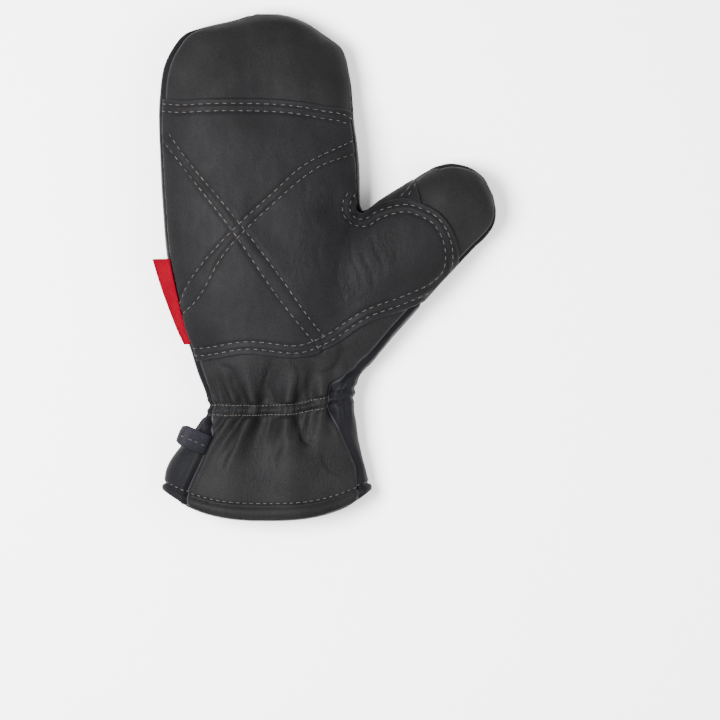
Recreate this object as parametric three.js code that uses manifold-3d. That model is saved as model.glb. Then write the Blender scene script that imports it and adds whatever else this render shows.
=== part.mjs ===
// A soft leather mitten, lying palm up: fingertips towards +Y, thumb towards +X, back of the hand down.
// Millimetres. The skin is lofted through the sections in the tables, which are shares of the named sizes.
import * as THREE from "three";
import Module from "manifold-3d";

// Driving dimensions of the hand, from the end of the hem to the fingertip
const handLength = 292;
const handWidth = 122;
const handHeight = 46;
const hemBow = 19;

// Driving dimensions of the thumb
const thumbLength = 118;
const thumbWidth = 58;
const thumbHeight = 40;
const thumbTurn = 32;
const thumbRootAcross = 42;
const thumbRootAlong = 117;
const thumbJoinAlong = 46;
const thumbJoinAcross = 36;

// Leather, seams and the gap that sewn pieces keep
const wall = 1.8;
const patchThickness = 1.5;
const gussetThickness = 1.3;
const seamGap = 0.3;
const seamAngle = 19;

// Turned hem and the gathered channel of the wrist
const hemDepth = 7.3;
const hemRoll = 0.7;
const channelFromHem = 46;
const channelWidth = 6;
const channelPinch = 1.3;
const pleatAtChannel = 0.45;
const pleatHollow = 0.7;

// Pull loop: both ends of the strip are sewn into the side seam of the cuff
const loopReach = 18;
const loopHeight = 13;
const loopStripWidth = 12.6;
const loopStripThickness = 1.8;
const loopFromHem = 28;
const loopTurn = 22;
const loopLift = 6;
const loopFoldSteps = 12;

// Side tag
const tagLength = 52;
const tagDrop = 15;
const tagThickness = 1;
const tagAt = 0.308;
const tagOutAtStart = 0.2;
const tagOutAtEnd = 0.62;
const tagBend = { out: 0.62, down: 0.35 };

const leather = { color: 0x312f31, roughness: 0.62, metalness: 0 };
const wovenRed = { color: 0xb42832, roughness: 0.85, metalness: 0 };

// Sections of the hand: at is a share of its length, low and high of its width, base and crown of its height
const handSections = [
  { at: 0, low: -0.5, high: 0.55, base: -0.06, crown: 0.66 },
  { at: 0.05, low: -0.475, high: 0.515, base: -0.06, crown: 0.72 },
  { at: 0.1, low: -0.4, high: 0.48, base: -0.02, crown: 0.74 },
  { at: 0.14, low: -0.318, high: 0.462, base: 0.05, crown: 0.72 },
  { at: 0.169, low: -0.268, high: 0.448, base: 0.07, crown: 0.7 },
  { at: 0.2, low: -0.28, high: 0.45, base: 0.05, crown: 0.74 },
  { at: 0.25, low: -0.325, high: 0.478, base: -0.02, crown: 0.82 },
  { at: 0.3, low: -0.362, high: 0.484, base: -0.07, crown: 0.89 },
  { at: 0.34, low: -0.396, high: 0.488, base: -0.1, crown: 0.93 },
  { at: 0.42, low: -0.443, high: 0.492, base: -0.12, crown: 0.99 },
  { at: 0.49, low: -0.476, high: 0.494, base: -0.12, crown: 1 },
  { at: 0.57, low: -0.492, high: 0.495, base: -0.12, crown: 1 },
  { at: 0.69, low: -0.515, high: 0.488, base: -0.12, crown: 0.97 },
  { at: 0.8, low: -0.52, high: 0.455, base: -0.1, crown: 0.9 },
  { at: 0.88, low: -0.5, high: 0.432, base: -0.06, crown: 0.82 },
  { at: 0.93, low: -0.45, high: 0.398, base: -0.01, crown: 0.74 },
  { at: 0.962, low: -0.378, high: 0.296, base: 0.06, crown: 0.66 },
  { at: 0.976, low: -0.262, high: 0.24, base: 0.11, crown: 0.61 },
  { at: 0.986, low: -0.145, high: 0.19, base: 0.16, crown: 0.56 },
  { at: 0.995, low: -0.075, high: 0.135, base: 0.23, crown: 0.48 },
  { at: 1, low: -0.03, high: 0.08, base: 0.29, crown: 0.42 },
];

// Sections of the thumb: at is a share of its length, low and high of its width, base and crown of its height
const thumbSections = [
  { at: -0.1, low: -0.83, high: 0.3, base: 0.05, crown: 0.7 },
  { at: 0.0, low: -0.795, high: 0.46, base: -0.04, crown: 0.86 },
  { at: 0.2, low: -0.67, high: 0.58, base: -0.08, crown: 0.95 },
  { at: 0.44, low: -0.53, high: 0.6, base: -0.08, crown: 0.94 },
  { at: 0.62, low: -0.43, high: 0.605, base: -0.05, crown: 0.9 },
  { at: 0.76, low: -0.355, high: 0.605, base: 0.0, crown: 0.86 },
  { at: 0.86, low: -0.315, high: 0.55, base: 0.05, crown: 0.81 },
  { at: 0.93, low: -0.25, high: 0.45, base: 0.12, crown: 0.75 },
  { at: 0.975, low: -0.13, high: 0.34, base: 0.2, crown: 0.67 },
  { at: 1.0, low: 0.03, high: 0.21, base: 0.31, crown: 0.55 },
];

// Pleats of the gathered wrist: around is a share of the girth from the thumb side over the palm, wide a share
// of the girth, rise a share of the wall, up and down the reach from the channel as shares of the hand's length
const pleats = [
  { around: 0.08, wide: 0.05, rise: 0.9, up: 0.06, down: 0.08 },
  { around: 0.16, wide: 0.05, rise: 1.1, up: 0.08, down: 0.11 },
  { around: 0.25, wide: 0.055, rise: 1.4, up: 0.12, down: 0.1 },
  { around: 0.34, wide: 0.055, rise: 1.3, up: 0.11, down: 0.13 },
  { around: 0.42, wide: 0.05, rise: 0.9, up: 0.07, down: 0.1 },
  { around: 0.56, wide: 0.05, rise: 0.8, up: 0.06, down: 0.08 },
  { around: 0.65, wide: 0.05, rise: 1.0, up: 0.07, down: 0.08 },
  { around: 0.75, wide: 0.05, rise: 1.1, up: 0.08, down: 0.08 },
  { around: 0.85, wide: 0.05, rise: 1.0, up: 0.07, down: 0.08 },
  { around: 0.94, wide: 0.05, rise: 0.8, up: 0.06, down: 0.08 },
];

// Soft dents of the palm side: across and along are shares of the hand's width and length, reach of its
// width, depth of its height
const dents = [
  { across: 0.02, along: 0.545, reach: 0.2, depth: 0.035 },
  { across: 0.36, along: 0.6, reach: 0.16, depth: 0.06 },
  { across: 0.3, along: 0.33, reach: 0.16, depth: 0.05 },
  { across: -0.3, along: 0.3, reach: 0.16, depth: 0.04 },
  { across: 0.02, along: 0.82, reach: 0.22, depth: 0.03 },
];

// Palm side of the wrist and cuff in plan, inside the two side seams: across is a share of the hand's width,
// along of its length
const palmSeams = [
  { across: 1.6, along: 1.2 },
  { across: 1.6, along: 0.34 },
  { across: 0.56, along: 0.285 },
  { across: 0.355, along: 0.217 },
  { across: 0.338, along: 0.177 },
  { across: 0.4, along: 0.124 },
  { across: 0.48, along: 0.05 },
  { across: 0.52, along: -0.2 },
  { across: -0.39, along: -0.2 },
  { across: -0.38, along: 0.0 },
  { across: -0.31, along: 0.065 },
  { across: -0.262, along: 0.12 },
  { across: -0.262, along: 0.2 },
  { across: -0.36, along: 0.26 },
  { across: -1.0, along: 0.3 },
  { across: -1.0, along: 1.2 },
];

// The cuff's left seam lies nearer to the middle than this share of the hand's width
const cuffSeamLimit = -0.5;

// Outline of the palm patch in plan: over the hand's top with the same shares, round the thumb with shares of
// the thumb's own width and length, and along the heel of the hand
const patchTop = [
  { across: -0.7, along: 0.808 },
  { across: -0.39, along: 0.818 },
  { across: -0.16, along: 0.821 },
  { across: 0.13, along: 0.817 },
  { across: 0.3, along: 0.806 },
  { across: 0.47, along: 0.785 },
  { across: 0.488, along: 0.616 },
  { across: 0.468, along: 0.599 },
  { across: 0.471, along: 0.585 },
  { across: 0.508, along: 0.579 },
];

const patchRoundThumb = [
  { across: 0.579, along: 0.433 },
  { across: 0.556, along: 0.5 },
  { across: 0.463, along: 0.612 },
  { across: 0.333, along: 0.67 },
  { across: 0.152, along: 0.719 },
  { across: -0.068, along: 0.725 },
  { across: -0.309, along: 0.685 },
  { across: -0.483, along: 0.61 },
  { across: -0.547, along: 0.498 },
  { across: -0.506, along: 0.314 },
];

const patchHeel = [
  { across: 0.54, along: 0.353 },
  { across: 0.34, along: 0.3 },
  { across: 0.19, along: 0.278 },
  { across: -0.07, along: 0.286 },
  { across: -0.34, along: 0.272 },
  { across: -0.7, along: 0.3 },
];

// Outline of the thumb's gusset in plan, with shares of the thumb's own width and length
const gussetOutline = [
  { across: 1.082, along: 0.547 },
  { across: 0.645, along: 0.479 },
  { across: 0.518, along: 0.617 },
  { across: 0.433, along: 0.646 },
  { across: 0.616, along: 0.726 },
  { across: 1.05, along: 0.805 },
];

// How finely the skin is divided
const segmentsAround = 36;
const thumbSegmentsAround = 22;
const ringStep = 12;
const hollowRingStep = 24;
const wristRingStep = 4.8;
const wristReach = 2 * channelFromHem;
const thumbRingStep = 9;
const hemRings = [0, 0.2, 0.5, 1, 1.3];
const tipStart = 0.9;
const handTipRows = 6;
const thumbTipRows = 5;

// Form of a section: squareness of its palm side and back, and the height share of its widest place
const palmSquareness = 2.35;
const backSquareness = 2.9;
const widestShare = 0.42;
const beyond = 60;
const outlineSteps = 2;
const tagSteps = 8;

const hand = { rows: handSections, length: handLength, width: handWidth, height: handHeight };
const thumb = { rows: thumbSections, length: thumbLength, width: thumbWidth, height: thumbHeight };

const wasm = await Module();
wasm.setup();

const { CrossSection, Manifold, Mesh } = wasm;

// The value of a column at a place along a table, eased between the two rows around it
function column(rows, key, at) {
  const last = rows.length - 1;
  const next = Math.min(Math.max(rows.findIndex((row) => row.at > at), 1), last);
  const upper = at >= rows[last].at ? last : next;
  const slope = (i) => {
    const before = rows[Math.max(i - 1, 0)];
    const after = rows[Math.min(i + 1, last)];
    return (after[key] - before[key]) / (after.at - before.at);
  };
  const a = rows[upper - 1];
  const b = rows[upper];
  const span = b.at - a.at;
  const t = THREE.MathUtils.clamp((at - a.at) / span, 0, 1);
  const keepA = (1 + 2 * t) * (1 - t) ** 2;
  const keepB = t * t * (3 - 2 * t);
  const leanA = t * (1 - t) ** 2 * span * slope(upper - 1);
  const leanB = t * t * (1 - t) * span * slope(upper);
  return keepA * a[key] + leanA + keepB * b[key] - leanB;
}

// A height between 0 and 1 that falls off softly from the middle of a bump
function bump(distance, reach) {
  const share = Math.min(Math.abs(distance) / reach, 1);
  return 0.5 + 0.5 * Math.cos(Math.PI * share);
}

// The measures of a form's section: its middle, half width, widest height, how far it reaches above and below
// that, and how high its side seam runs
function sectionAt(form, along) {
  const at = along / form.length;
  const low = column(form.rows, "low", at) * form.width;
  const high = column(form.rows, "high", at) * form.width;
  const base = column(form.rows, "base", at) * form.height;
  const crown = column(form.rows, "crown", at) * form.height;
  const widest = base + widestShare * (crown - base);
  const seamShare = Math.sin(THREE.MathUtils.degToRad(seamAngle)) ** (2 / palmSquareness);
  return {
    low,
    high,
    middle: (low + high) / 2,
    half: (high - low) / 2,
    widest,
    above: crown - widest,
    below: widest - base,
    seam: widest + seamShare * (crown - widest),
  };
}

// How far the wrist's pinched channel, the rolled hem and the pleats lift the skin at a place
function relief(along, turn) {
  const fromChannel = Math.abs(along - channelFromHem - channelWidth / 2);
  const rowsPinch = bump(fromChannel - channelWidth / 2, channelWidth / 2) * channelPinch;
  const hemRise = bump(along - hemDepth / 2, hemDepth / 2) - bump(along - hemDepth, hemDepth / 4);
  const around = turn / (2 * Math.PI);
  const pleatLift = pleats.reduce((sum, pleat) => {
    const reach = (along > channelFromHem + channelWidth / 2 ? pleat.up : pleat.down) * handLength;
    const nearChannel = pleatAtChannel + (1 - pleatAtChannel) * Math.min(fromChannel / channelWidth, 1);
    const ridge = 2 * bump(around - pleat.around, pleat.wide) - pleatHollow;
    const isOn = Math.abs(around - pleat.around) < pleat.wide;
    return sum + (isOn ? ridge * bump(fromChannel, reach) * nearChannel * pleat.rise * wall : 0);
  }, 0);
  return pleatLift + hemRoll * hemRise - rowsPinch;
}

// How far the dents lower the palm side at a place in plan
function dentDepth(across, along) {
  return dents.reduce((sum, dent) => {
    const distance = Math.hypot(across - dent.across * handWidth, along - dent.along * handLength);
    return sum + dent.depth * handHeight * bump(distance, dent.reach * handWidth);
  }, 0);
}

// One point of a section, across and up, with its skin moved in by inset and raised by lift
function sectionPoint(section, turn, inset, lift) {
  const isUp = Math.sin(turn) >= 0;
  const power = 2 / (isUp ? palmSquareness : backSquareness);
  const cosine = Math.cos(turn);
  const sine = Math.sin(turn);
  const half = Math.max(section.half - inset, wall / 2) + lift;
  const rise = Math.max((isUp ? section.above : section.below) - inset, wall / 2) + lift;
  const x = Math.sign(cosine) * Math.abs(cosine) ** power * half;
  const z = Math.sign(sine) * Math.abs(sine) ** power * rise;
  return [section.middle + x, Math.max(section.widest + z, inset)];
}

// A closed loft through rings of points, each ring running anticlockwise seen from its far end
function loft(rings) {
  const count = rings[0].length;
  const points = rings.flat();
  const triangles = [];
  for (let ring = 0; ring + 1 < rings.length; ring += 1) {
    for (let i = 0; i < count; i += 1) {
      const a = ring * count + i;
      const b = ring * count + ((i + 1) % count);
      triangles.push(a, a + count, b, b, a + count, b + count);
    }
  }
  const capMiddle = (ring) => {
    const mean = ring[0].map((_, axis) => ring.reduce((sum, point) => sum + point[axis], 0) / count);
    return points.push(mean) - 1;
  };
  const first = capMiddle(rings[0]);
  const last = capMiddle(rings[rings.length - 1]);
  const lastStart = (rings.length - 1) * count;
  for (let i = 0; i < count; i += 1) {
    const next = (i + 1) % count;
    triangles.push(first, i, next);
    triangles.push(last, lastStart + next, lastStart + i);
  }
  const mesh = new Mesh({
    numProp: 3,
    vertProperties: new Float32Array(points.flat()),
    triVerts: new Uint32Array(triangles),
  });
  return new Manifold(mesh);
}

// Places from a start to the tip of a form for its rings: evenly, then at each row of the tip
function ringPlaces(form, start, step, tipRows) {
  const tip = form.rows.slice(-tipRows).map((row) => row.at * form.length);
  const places = [];
  for (let at = start; at < tip[0] - step / 3; at += step) places.push(at);
  return [...places, ...tip];
}

// How far a ring near the tip moves back when the skin moves in
function tipMove(form, along, inset) {
  return inset * Math.max((along / form.length - tipStart) / (1 - tipStart), 0);
}

// The hand as a closed solid, with its skin moved in by inset, or out where inset is negative
function handSolid(inset, isHollow = false) {
  const hemPlaces = hemRings.map((share) => share * hemDepth);
  const wristPlaces = [];
  for (let at = hemPlaces.at(-1) + wristRingStep; at < wristReach; at += wristRingStep) wristPlaces.push(at);
  const step = isHollow ? hollowRingStep : ringStep;
  const palmPlaces = ringPlaces(hand, wristReach + step / 2, step, handTipRows);
  const places = [...hemPlaces, ...wristPlaces, ...palmPlaces];
  const rings = places.map((along) => {
    const section = sectionAt(hand, along);
    const moved = isHollow && along <= hemDepth ? 2 * inset : inset;
    const bow = hemBow * Math.max(1 - along / channelFromHem, 0) ** 2;
    const half = Math.max(section.half - moved, wall / 2);
    return Array.from({ length: segmentsAround }, (_, i) => {
      const turn = (2 * Math.PI * (i + 0.5)) / segmentsAround;
      const lift = relief(along, turn);
      const [x, z] = sectionPoint(section, turn, moved, lift);
      const bowed = along - bow * (1 - ((x - section.middle) / (half + lift)) ** 2);
      const isPalm = z > section.widest;
      const dented = isPalm ? Math.max(z - dentDepth(x, along), section.widest) : z;
      return [x, bowed - tipMove(hand, along, moved), dented];
    });
  });
  if (!isHollow && inset >= 0) return loft(rings);
  const mouth = rings[0].map(([x, y, z]) => [x, y - beyond / 2, z]);
  return loft([mouth, ...rings]);
}

// The thumb's own directions: along it and across it, in plan
const thumbAngle = THREE.MathUtils.degToRad(thumbTurn);
const thumbAlong = new THREE.Vector2(Math.cos(thumbAngle), Math.sin(thumbAngle));
const thumbAcross = new THREE.Vector2(-thumbAlong.y, thumbAlong.x);

function thumbPlace(along, across) {
  return [
    thumbRootAcross + along * thumbAlong.x + across * thumbAcross.x,
    thumbRootAlong + along * thumbAlong.y + across * thumbAcross.y,
  ];
}

// The thumb as a closed solid, with its skin moved in by inset, or out where inset is negative
function thumbSolid(inset) {
  const start = thumbSections[0].at * thumbLength + Math.max(inset, 0) * 2;
  const rings = ringPlaces(thumb, start, thumbRingStep, thumbTipRows).map((along) => {
    const section = sectionAt(thumb, along);
    return Array.from({ length: thumbSegmentsAround }, (_, i) => {
      const turn = (2 * Math.PI * (i + 0.5)) / thumbSegmentsAround;
      const [across, z] = sectionPoint(section, turn, inset, 0);
      return [...thumbPlace(along - tipMove(thumb, along, inset), 2 * section.middle - across), z];
    });
  });
  return loft(rings);
}

function skinSolid(inset, isHollow = false) {
  return handSolid(inset, isHollow).add(thumbSolid(inset));
}

// Places in plan from rows of shares, on the hand and in the thumb's own directions
function onHand(rows) {
  return rows.map((row) => [row.across * handWidth, row.along * handLength]);
}

function onThumb(rows) {
  return rows.map((row) => thumbPlace(row.along * thumbLength, row.across * thumbWidth));
}

// A smooth closed outline through places in plan
function smoothOutline(places, divisions) {
  const curve = new THREE.CatmullRomCurve3(
    places.map(([x, y]) => new THREE.Vector3(x, y, 0)),
    true,
    "centripetal",
  );
  const points = curve.getPoints(places.length * divisions).slice(0, -1);
  return points.map((point) => [point.x, point.y]);
}

// An upright prism over a plan outline that is moved outwards by spread
function uprightPrism(outline, spread = 0) {
  const plan = new CrossSection([outline], "NonZero").offset(spread, "Miter");
  return plan.extrude(handHeight + 2 * beyond).translate([0, 0, -beyond]);
}

// The space above the side seam, which runs round the form a little above its widest place
function aboveSeam(form, raise, frame) {
  const first = form.rows[0].at;
  const last = form.rows.at(-1).at;
  const rows = [first - 1, ...form.rows.map((row) => row.at), last + 1];
  const edge = rows.map((at) => [
    at * form.length,
    sectionAt(form, THREE.MathUtils.clamp(at, first, last) * form.length).seam + raise,
  ]);
  const top = form.height + beyond;
  const outline = [...edge, [edge.at(-1)[0], top], [edge[0][0], top]];
  const depth = 2 * (handLength + thumbLength);
  const space = new CrossSection([outline], "NonZero").extrude(depth, 0, 0, [1, 1], true);
  return space.transform(frame.elements);
}

const handFrame = new THREE.Matrix4().makeBasis(
  new THREE.Vector3(0, 1, 0),
  new THREE.Vector3(0, 0, 1),
  new THREE.Vector3(1, 0, 0),
);

const thumbFrame = new THREE.Matrix4()
  .makeBasis(
    new THREE.Vector3(thumbAlong.x, thumbAlong.y, 0),
    new THREE.Vector3(0, 0, 1),
    new THREE.Vector3(-thumbAcross.x, -thumbAcross.y, 0),
  )
  .setPosition(thumbRootAcross, thumbRootAlong, 0);

// The space on the thumb's side of the seam that joins it to the hand
function thumbRegion(offset) {
  const start = thumbJoinAlong + offset;
  const corners = [
    [start, -beyond * 2],
    [thumbLength + beyond, -beyond * 2],
    [thumbLength + beyond, beyond * 2],
    [start, thumbJoinAcross],
  ];
  return uprightPrism(corners.map(([along, across]) => thumbPlace(along, across)));
}

// The four panels of the shell
const outer = skinSolid(0);
const hollow = skinSolid(wall, true);
const shell = outer.subtract(hollow);
const halfGap = seamGap / 2;
const palmPlan = onHand(palmSeams);

function handPalmSpace(raise, spread) {
  return aboveSeam(hand, raise, handFrame).intersect(uprightPrism(palmPlan, spread));
}

function thumbPalmSpace(raise) {
  return aboveSeam(thumb, raise, thumbFrame);
}

const handShell = shell.subtract(thumbRegion(-halfGap));
const thumbShell = shell.intersect(thumbRegion(halfGap));

// The largest body of a solid: a cut along a seam can leave a crumb behind, smaller than a stitch
function mainBody(solid) {
  return solid.decompose().reduce((best, body) => (body.volume() > best.volume() ? body : best));
}

const palmPanel = mainBody(handShell.intersect(handPalmSpace(halfGap, -halfGap)));
const backPanel = mainBody(handShell.subtract(handPalmSpace(-halfGap, halfGap)));
const thumbFront = mainBody(thumbShell.intersect(thumbPalmSpace(halfGap)));
const thumbBack = mainBody(thumbShell.subtract(thumbPalmSpace(-halfGap)));

// Layers sewn on top of the skin: over a plan outline, and above both side seams
const palmSide = handPalmSpace(halfGap, beyond)
  .subtract(thumbRegion(0))
  .add(thumbPalmSpace(halfGap).intersect(thumbRegion(0)));

function overlay(outline, thickness) {
  const layer = skinSolid(-seamGap - thickness).subtract(skinSolid(-seamGap));
  return layer.intersect(uprightPrism(outline)).intersect(palmSide);
}

const patchCorners = [...onHand(patchTop), ...onThumb(patchRoundThumb), ...onHand(patchHeel)];
const patchPlan = smoothOutline(patchCorners, outlineSteps);
const palmPatch = mainBody(overlay(patchPlan, patchThickness));
const gussetPlan = smoothOutline(onThumb(gussetOutline), outlineSteps);
const thumbGusset = mainBody(overlay(gussetPlan, gussetThickness).subtract(uprightPrism(patchPlan, seamGap)));

// How high the palm side of the hand's skin lies at a place in plan
function skinHeight(across, along) {
  const section = sectionAt(hand, along);
  const share = Math.min(Math.abs(across - section.middle) / section.half, 1);
  return section.widest + section.above * (1 - share ** palmSquareness) ** (1 / palmSquareness);
}

// How far across the palm's left seam runs at a place along the cuff
function cuffSeamAcross(along) {
  const leftRows = palmSeams.filter((row) => row.across < 0 && row.across > cuffSeamLimit);
  const rows = leftRows.map((row) => ({ at: row.along, across: row.across })).sort((a, b) => a.at - b.at);
  return column(rows, "across", along / handLength) * handWidth;
}

// Pull loop: a strip that leaves the cuff's side seam, turns round and comes back under itself
function pullLoopSolid() {
  const radius = loopHeight / 2;
  const bend = -loopReach + radius;
  const inner = radius - loopStripThickness;
  const shape = new THREE.Shape();
  shape.moveTo(0, loopStripThickness);
  shape.lineTo(bend, radius);
  shape.absarc(bend, 0, radius, Math.PI / 2, (Math.PI * 3) / 2, false);
  shape.lineTo(0, -loopStripThickness);
  const eye = new THREE.Path();
  eye.moveTo(-2 * loopStripThickness, 0);
  eye.lineTo(bend, inner);
  eye.absarc(bend, 0, inner, Math.PI / 2, (Math.PI * 3) / 2, false);
  const lines = [shape, eye].map((path) => path.getPoints(loopFoldSteps).map((point) => [point.x, point.y]));
  const across = cuffSeamAcross(loopFromHem);
  return new CrossSection(lines, "EvenOdd")
    .extrude(loopStripWidth, 0, 0, [1, 1], true)
    .rotate([90, loopLift, -loopTurn])
    .translate([across, loopFromHem, skinHeight(across, loopFromHem) + loopStripThickness]);
}

// Side tag: a woven strip that hangs out of the side seam, widest at its upper end
function sideTagSolid() {
  const start = tagAt * handLength;
  const rings = Array.from({ length: tagSteps + 1 }, (_, i) => {
    const share = i / tagSteps;
    const along = start + share * tagLength;
    const section = sectionAt(hand, along);
    const out = tagDrop * THREE.MathUtils.lerp(tagOutAtStart, tagOutAtEnd, share);
    const drop = Math.sqrt(tagDrop ** 2 - out ** 2);
    const line = [
      [section.low + wall, section.seam],
      [section.low - out * tagBend.out, section.seam - drop * tagBend.down],
      [section.low - out, section.seam - drop],
    ];
    const upper = line.map(([x, z]) => [x - tagThickness / 2, along, z + tagThickness / 2]);
    const lower = line.map(([x, z]) => [x + tagThickness / 2, along, z - tagThickness / 2]).reverse();
    return [...upper, ...lower];
  });
  return loft(rings);
}

const clearSkin = skinSolid(-seamGap);
const pullLoop = mainBody(pullLoopSolid().subtract(clearSkin));
const patchSpace = skinSolid(-2 * seamGap - patchThickness).intersect(handPalmSpace(-halfGap, beyond));
const sideTag = mainBody(sideTagSolid().subtract(clearSkin).subtract(patchSpace));

const pieces = [
  { name: "palm_panel", solid: palmPanel, finish: leather },
  { name: "back_panel", solid: backPanel, finish: leather },
  { name: "thumb_front", solid: thumbFront, finish: leather },
  { name: "thumb_back", solid: thumbBack, finish: leather },
  { name: "palm_patch", solid: palmPatch, finish: leather },
  { name: "thumb_gusset", solid: thumbGusset, finish: leather },
  { name: "pull_loop", solid: pullLoop, finish: leather },
  { name: "side_tag", solid: sideTag, finish: wovenRed },
];

function meshOf({ name, solid, finish }) {
  const { numProp, vertProperties, triVerts } = solid.getMesh();
  const geometry = new THREE.BufferGeometry();
  const positions = Array.from({ length: vertProperties.length / numProp }, (_, i) =>
    Array.from(vertProperties.slice(i * numProp, i * numProp + 3)),
  );
  geometry.setAttribute("position", new THREE.Float32BufferAttribute(positions.flat(), 3));
  geometry.setIndex(Array.from(triVerts));
  geometry.computeVertexNormals();
  const mesh = new THREE.Mesh(geometry, new THREE.MeshStandardMaterial(finish));
  mesh.name = name;
  return mesh;
}

// The origin is below the middle of the whole mitten, on the surface that it lies on
const mitten = new THREE.Group();
pieces.forEach((piece) => mitten.add(meshOf(piece)));
const bounds = new THREE.Box3().setFromObject(mitten);
const middle = bounds.getCenter(new THREE.Vector3());
mitten.position.set(-middle.x, -middle.y, -bounds.min.z);

export default mitten;
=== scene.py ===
"""A soft black leather work mitten, lying palm up: its panels, sewn patch, thread, pull loop and woven tag.

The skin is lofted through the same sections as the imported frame, fused, given its pleats, creases and seams, and
then cut into the leather panels that the real mitten is sewn from. Metres throughout, +Z up.
"""

import logging
import math
from dataclasses import dataclass, field
from enum import Enum
from typing import Callable, Optional, Sequence

import bpy
import numpy as np
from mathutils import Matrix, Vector, noise
from mathutils.bvhtree import BVHTree

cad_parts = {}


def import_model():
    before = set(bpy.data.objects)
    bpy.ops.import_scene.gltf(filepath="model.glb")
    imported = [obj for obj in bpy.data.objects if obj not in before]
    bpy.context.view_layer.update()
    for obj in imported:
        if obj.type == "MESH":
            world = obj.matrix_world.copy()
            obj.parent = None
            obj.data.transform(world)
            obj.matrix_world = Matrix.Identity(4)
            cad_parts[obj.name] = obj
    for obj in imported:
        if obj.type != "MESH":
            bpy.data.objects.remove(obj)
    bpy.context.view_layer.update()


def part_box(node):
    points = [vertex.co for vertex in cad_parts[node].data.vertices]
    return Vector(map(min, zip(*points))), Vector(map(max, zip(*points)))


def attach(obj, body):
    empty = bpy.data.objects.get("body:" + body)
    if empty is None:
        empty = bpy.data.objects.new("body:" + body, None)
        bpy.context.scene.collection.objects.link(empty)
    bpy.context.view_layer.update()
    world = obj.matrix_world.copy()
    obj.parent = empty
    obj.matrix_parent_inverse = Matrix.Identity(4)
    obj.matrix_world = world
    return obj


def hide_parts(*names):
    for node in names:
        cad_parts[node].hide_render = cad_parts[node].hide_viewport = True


log = logging.getLogger("mitten")
MM = 0.001
BODY = "root"
LEATHER_VALUES = ("shade", "wrinkle", "edge")
Plan = Sequence[tuple[float, float]]


@dataclass(frozen=True)
class Section:
    """One section of a loft: where it lies, its two sides, and its lowest and highest point, all as shares."""

    at: float
    low: float
    high: float
    base: float
    crown: float


HAND_SECTIONS = (
    Section(0, -0.5, 0.55, -0.06, 0.66),
    Section(0.05, -0.475, 0.515, -0.06, 0.72),
    Section(0.1, -0.4, 0.48, -0.02, 0.74),
    Section(0.14, -0.318, 0.462, 0.05, 0.72),
    Section(0.169, -0.268, 0.448, 0.07, 0.7),
    Section(0.2, -0.28, 0.45, 0.05, 0.74),
    Section(0.25, -0.325, 0.478, -0.02, 0.82),
    Section(0.3, -0.362, 0.484, -0.07, 0.89),
    Section(0.34, -0.396, 0.488, -0.1, 0.93),
    Section(0.42, -0.443, 0.492, -0.12, 0.99),
    Section(0.49, -0.476, 0.494, -0.12, 1),
    Section(0.57, -0.492, 0.495, -0.12, 1),
    Section(0.69, -0.515, 0.488, -0.12, 0.97),
    Section(0.8, -0.52, 0.455, -0.1, 0.9),
    Section(0.88, -0.5, 0.432, -0.06, 0.82),
    Section(0.93, -0.45, 0.398, -0.01, 0.74),
    Section(0.962, -0.378, 0.296, 0.06, 0.66),
    Section(0.976, -0.262, 0.24, 0.11, 0.61),
    Section(0.986, -0.145, 0.19, 0.16, 0.56),
    Section(0.995, -0.075, 0.135, 0.23, 0.48),
    Section(1, -0.03, 0.08, 0.29, 0.42),
)

THUMB_SECTIONS = (
    Section(-0.1, -0.83, 0.3, 0.05, 0.7),
    Section(0.0, -0.795, 0.46, -0.04, 0.86),
    Section(0.2, -0.67, 0.58, -0.08, 0.95),
    Section(0.44, -0.53, 0.6, -0.08, 0.94),
    Section(0.62, -0.43, 0.605, -0.05, 0.9),
    Section(0.76, -0.355, 0.605, 0.0, 0.86),
    Section(0.86, -0.315, 0.55, 0.05, 0.81),
    Section(0.93, -0.25, 0.45, 0.12, 0.75),
    Section(0.975, -0.13, 0.34, 0.2, 0.67),
    Section(1.0, 0.03, 0.21, 0.31, 0.55),
)

PALM_SEAMS: Plan = (
    (1.6, 1.2),
    (1.6, 0.34),
    (0.56, 0.285),
    (0.355, 0.217),
    (0.338, 0.177),
    (0.4, 0.124),
    (0.48, 0.05),
    (0.52, -0.2),
    (-0.39, -0.2),
    (-0.38, 0.0),
    (-0.31, 0.065),
    (-0.262, 0.12),
    (-0.262, 0.2),
    (-0.36, 0.26),
    (-1.0, 0.3),
    (-1.0, 1.2),
)

PATCH_TOP: Plan = (
    (-0.7, 0.808),
    (-0.39, 0.818),
    (-0.16, 0.821),
    (0.13, 0.817),
    (0.3, 0.806),
    (0.47, 0.785),
    (0.488, 0.616),
    (0.468, 0.599),
    (0.471, 0.585),
    (0.508, 0.579),
)

PATCH_ROUND_THUMB: Plan = (
    (0.579, 0.433),
    (0.556, 0.500),
    (0.463, 0.612),
    (0.333, 0.670),
    (0.152, 0.719),
    (-0.068, 0.725),
    (-0.309, 0.685),
    (-0.483, 0.610),
    (-0.547, 0.498),
    (-0.506, 0.314),
)

PATCH_HEEL: Plan = (
    (0.54, 0.353),
    (0.34, 0.3),
    (0.19, 0.278),
    (-0.07, 0.286),
    (-0.34, 0.272),
    (-0.7, 0.3),
)

GUSSET_OUTLINE: Plan = (
    (1.082, 0.5),
    (0.6, 0.4),
    (0.42, 0.52),
    (0.24, 0.63),
    (0.4, 0.675),
    (0.616, 0.7),
    (1.05, 0.76),
)


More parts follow.
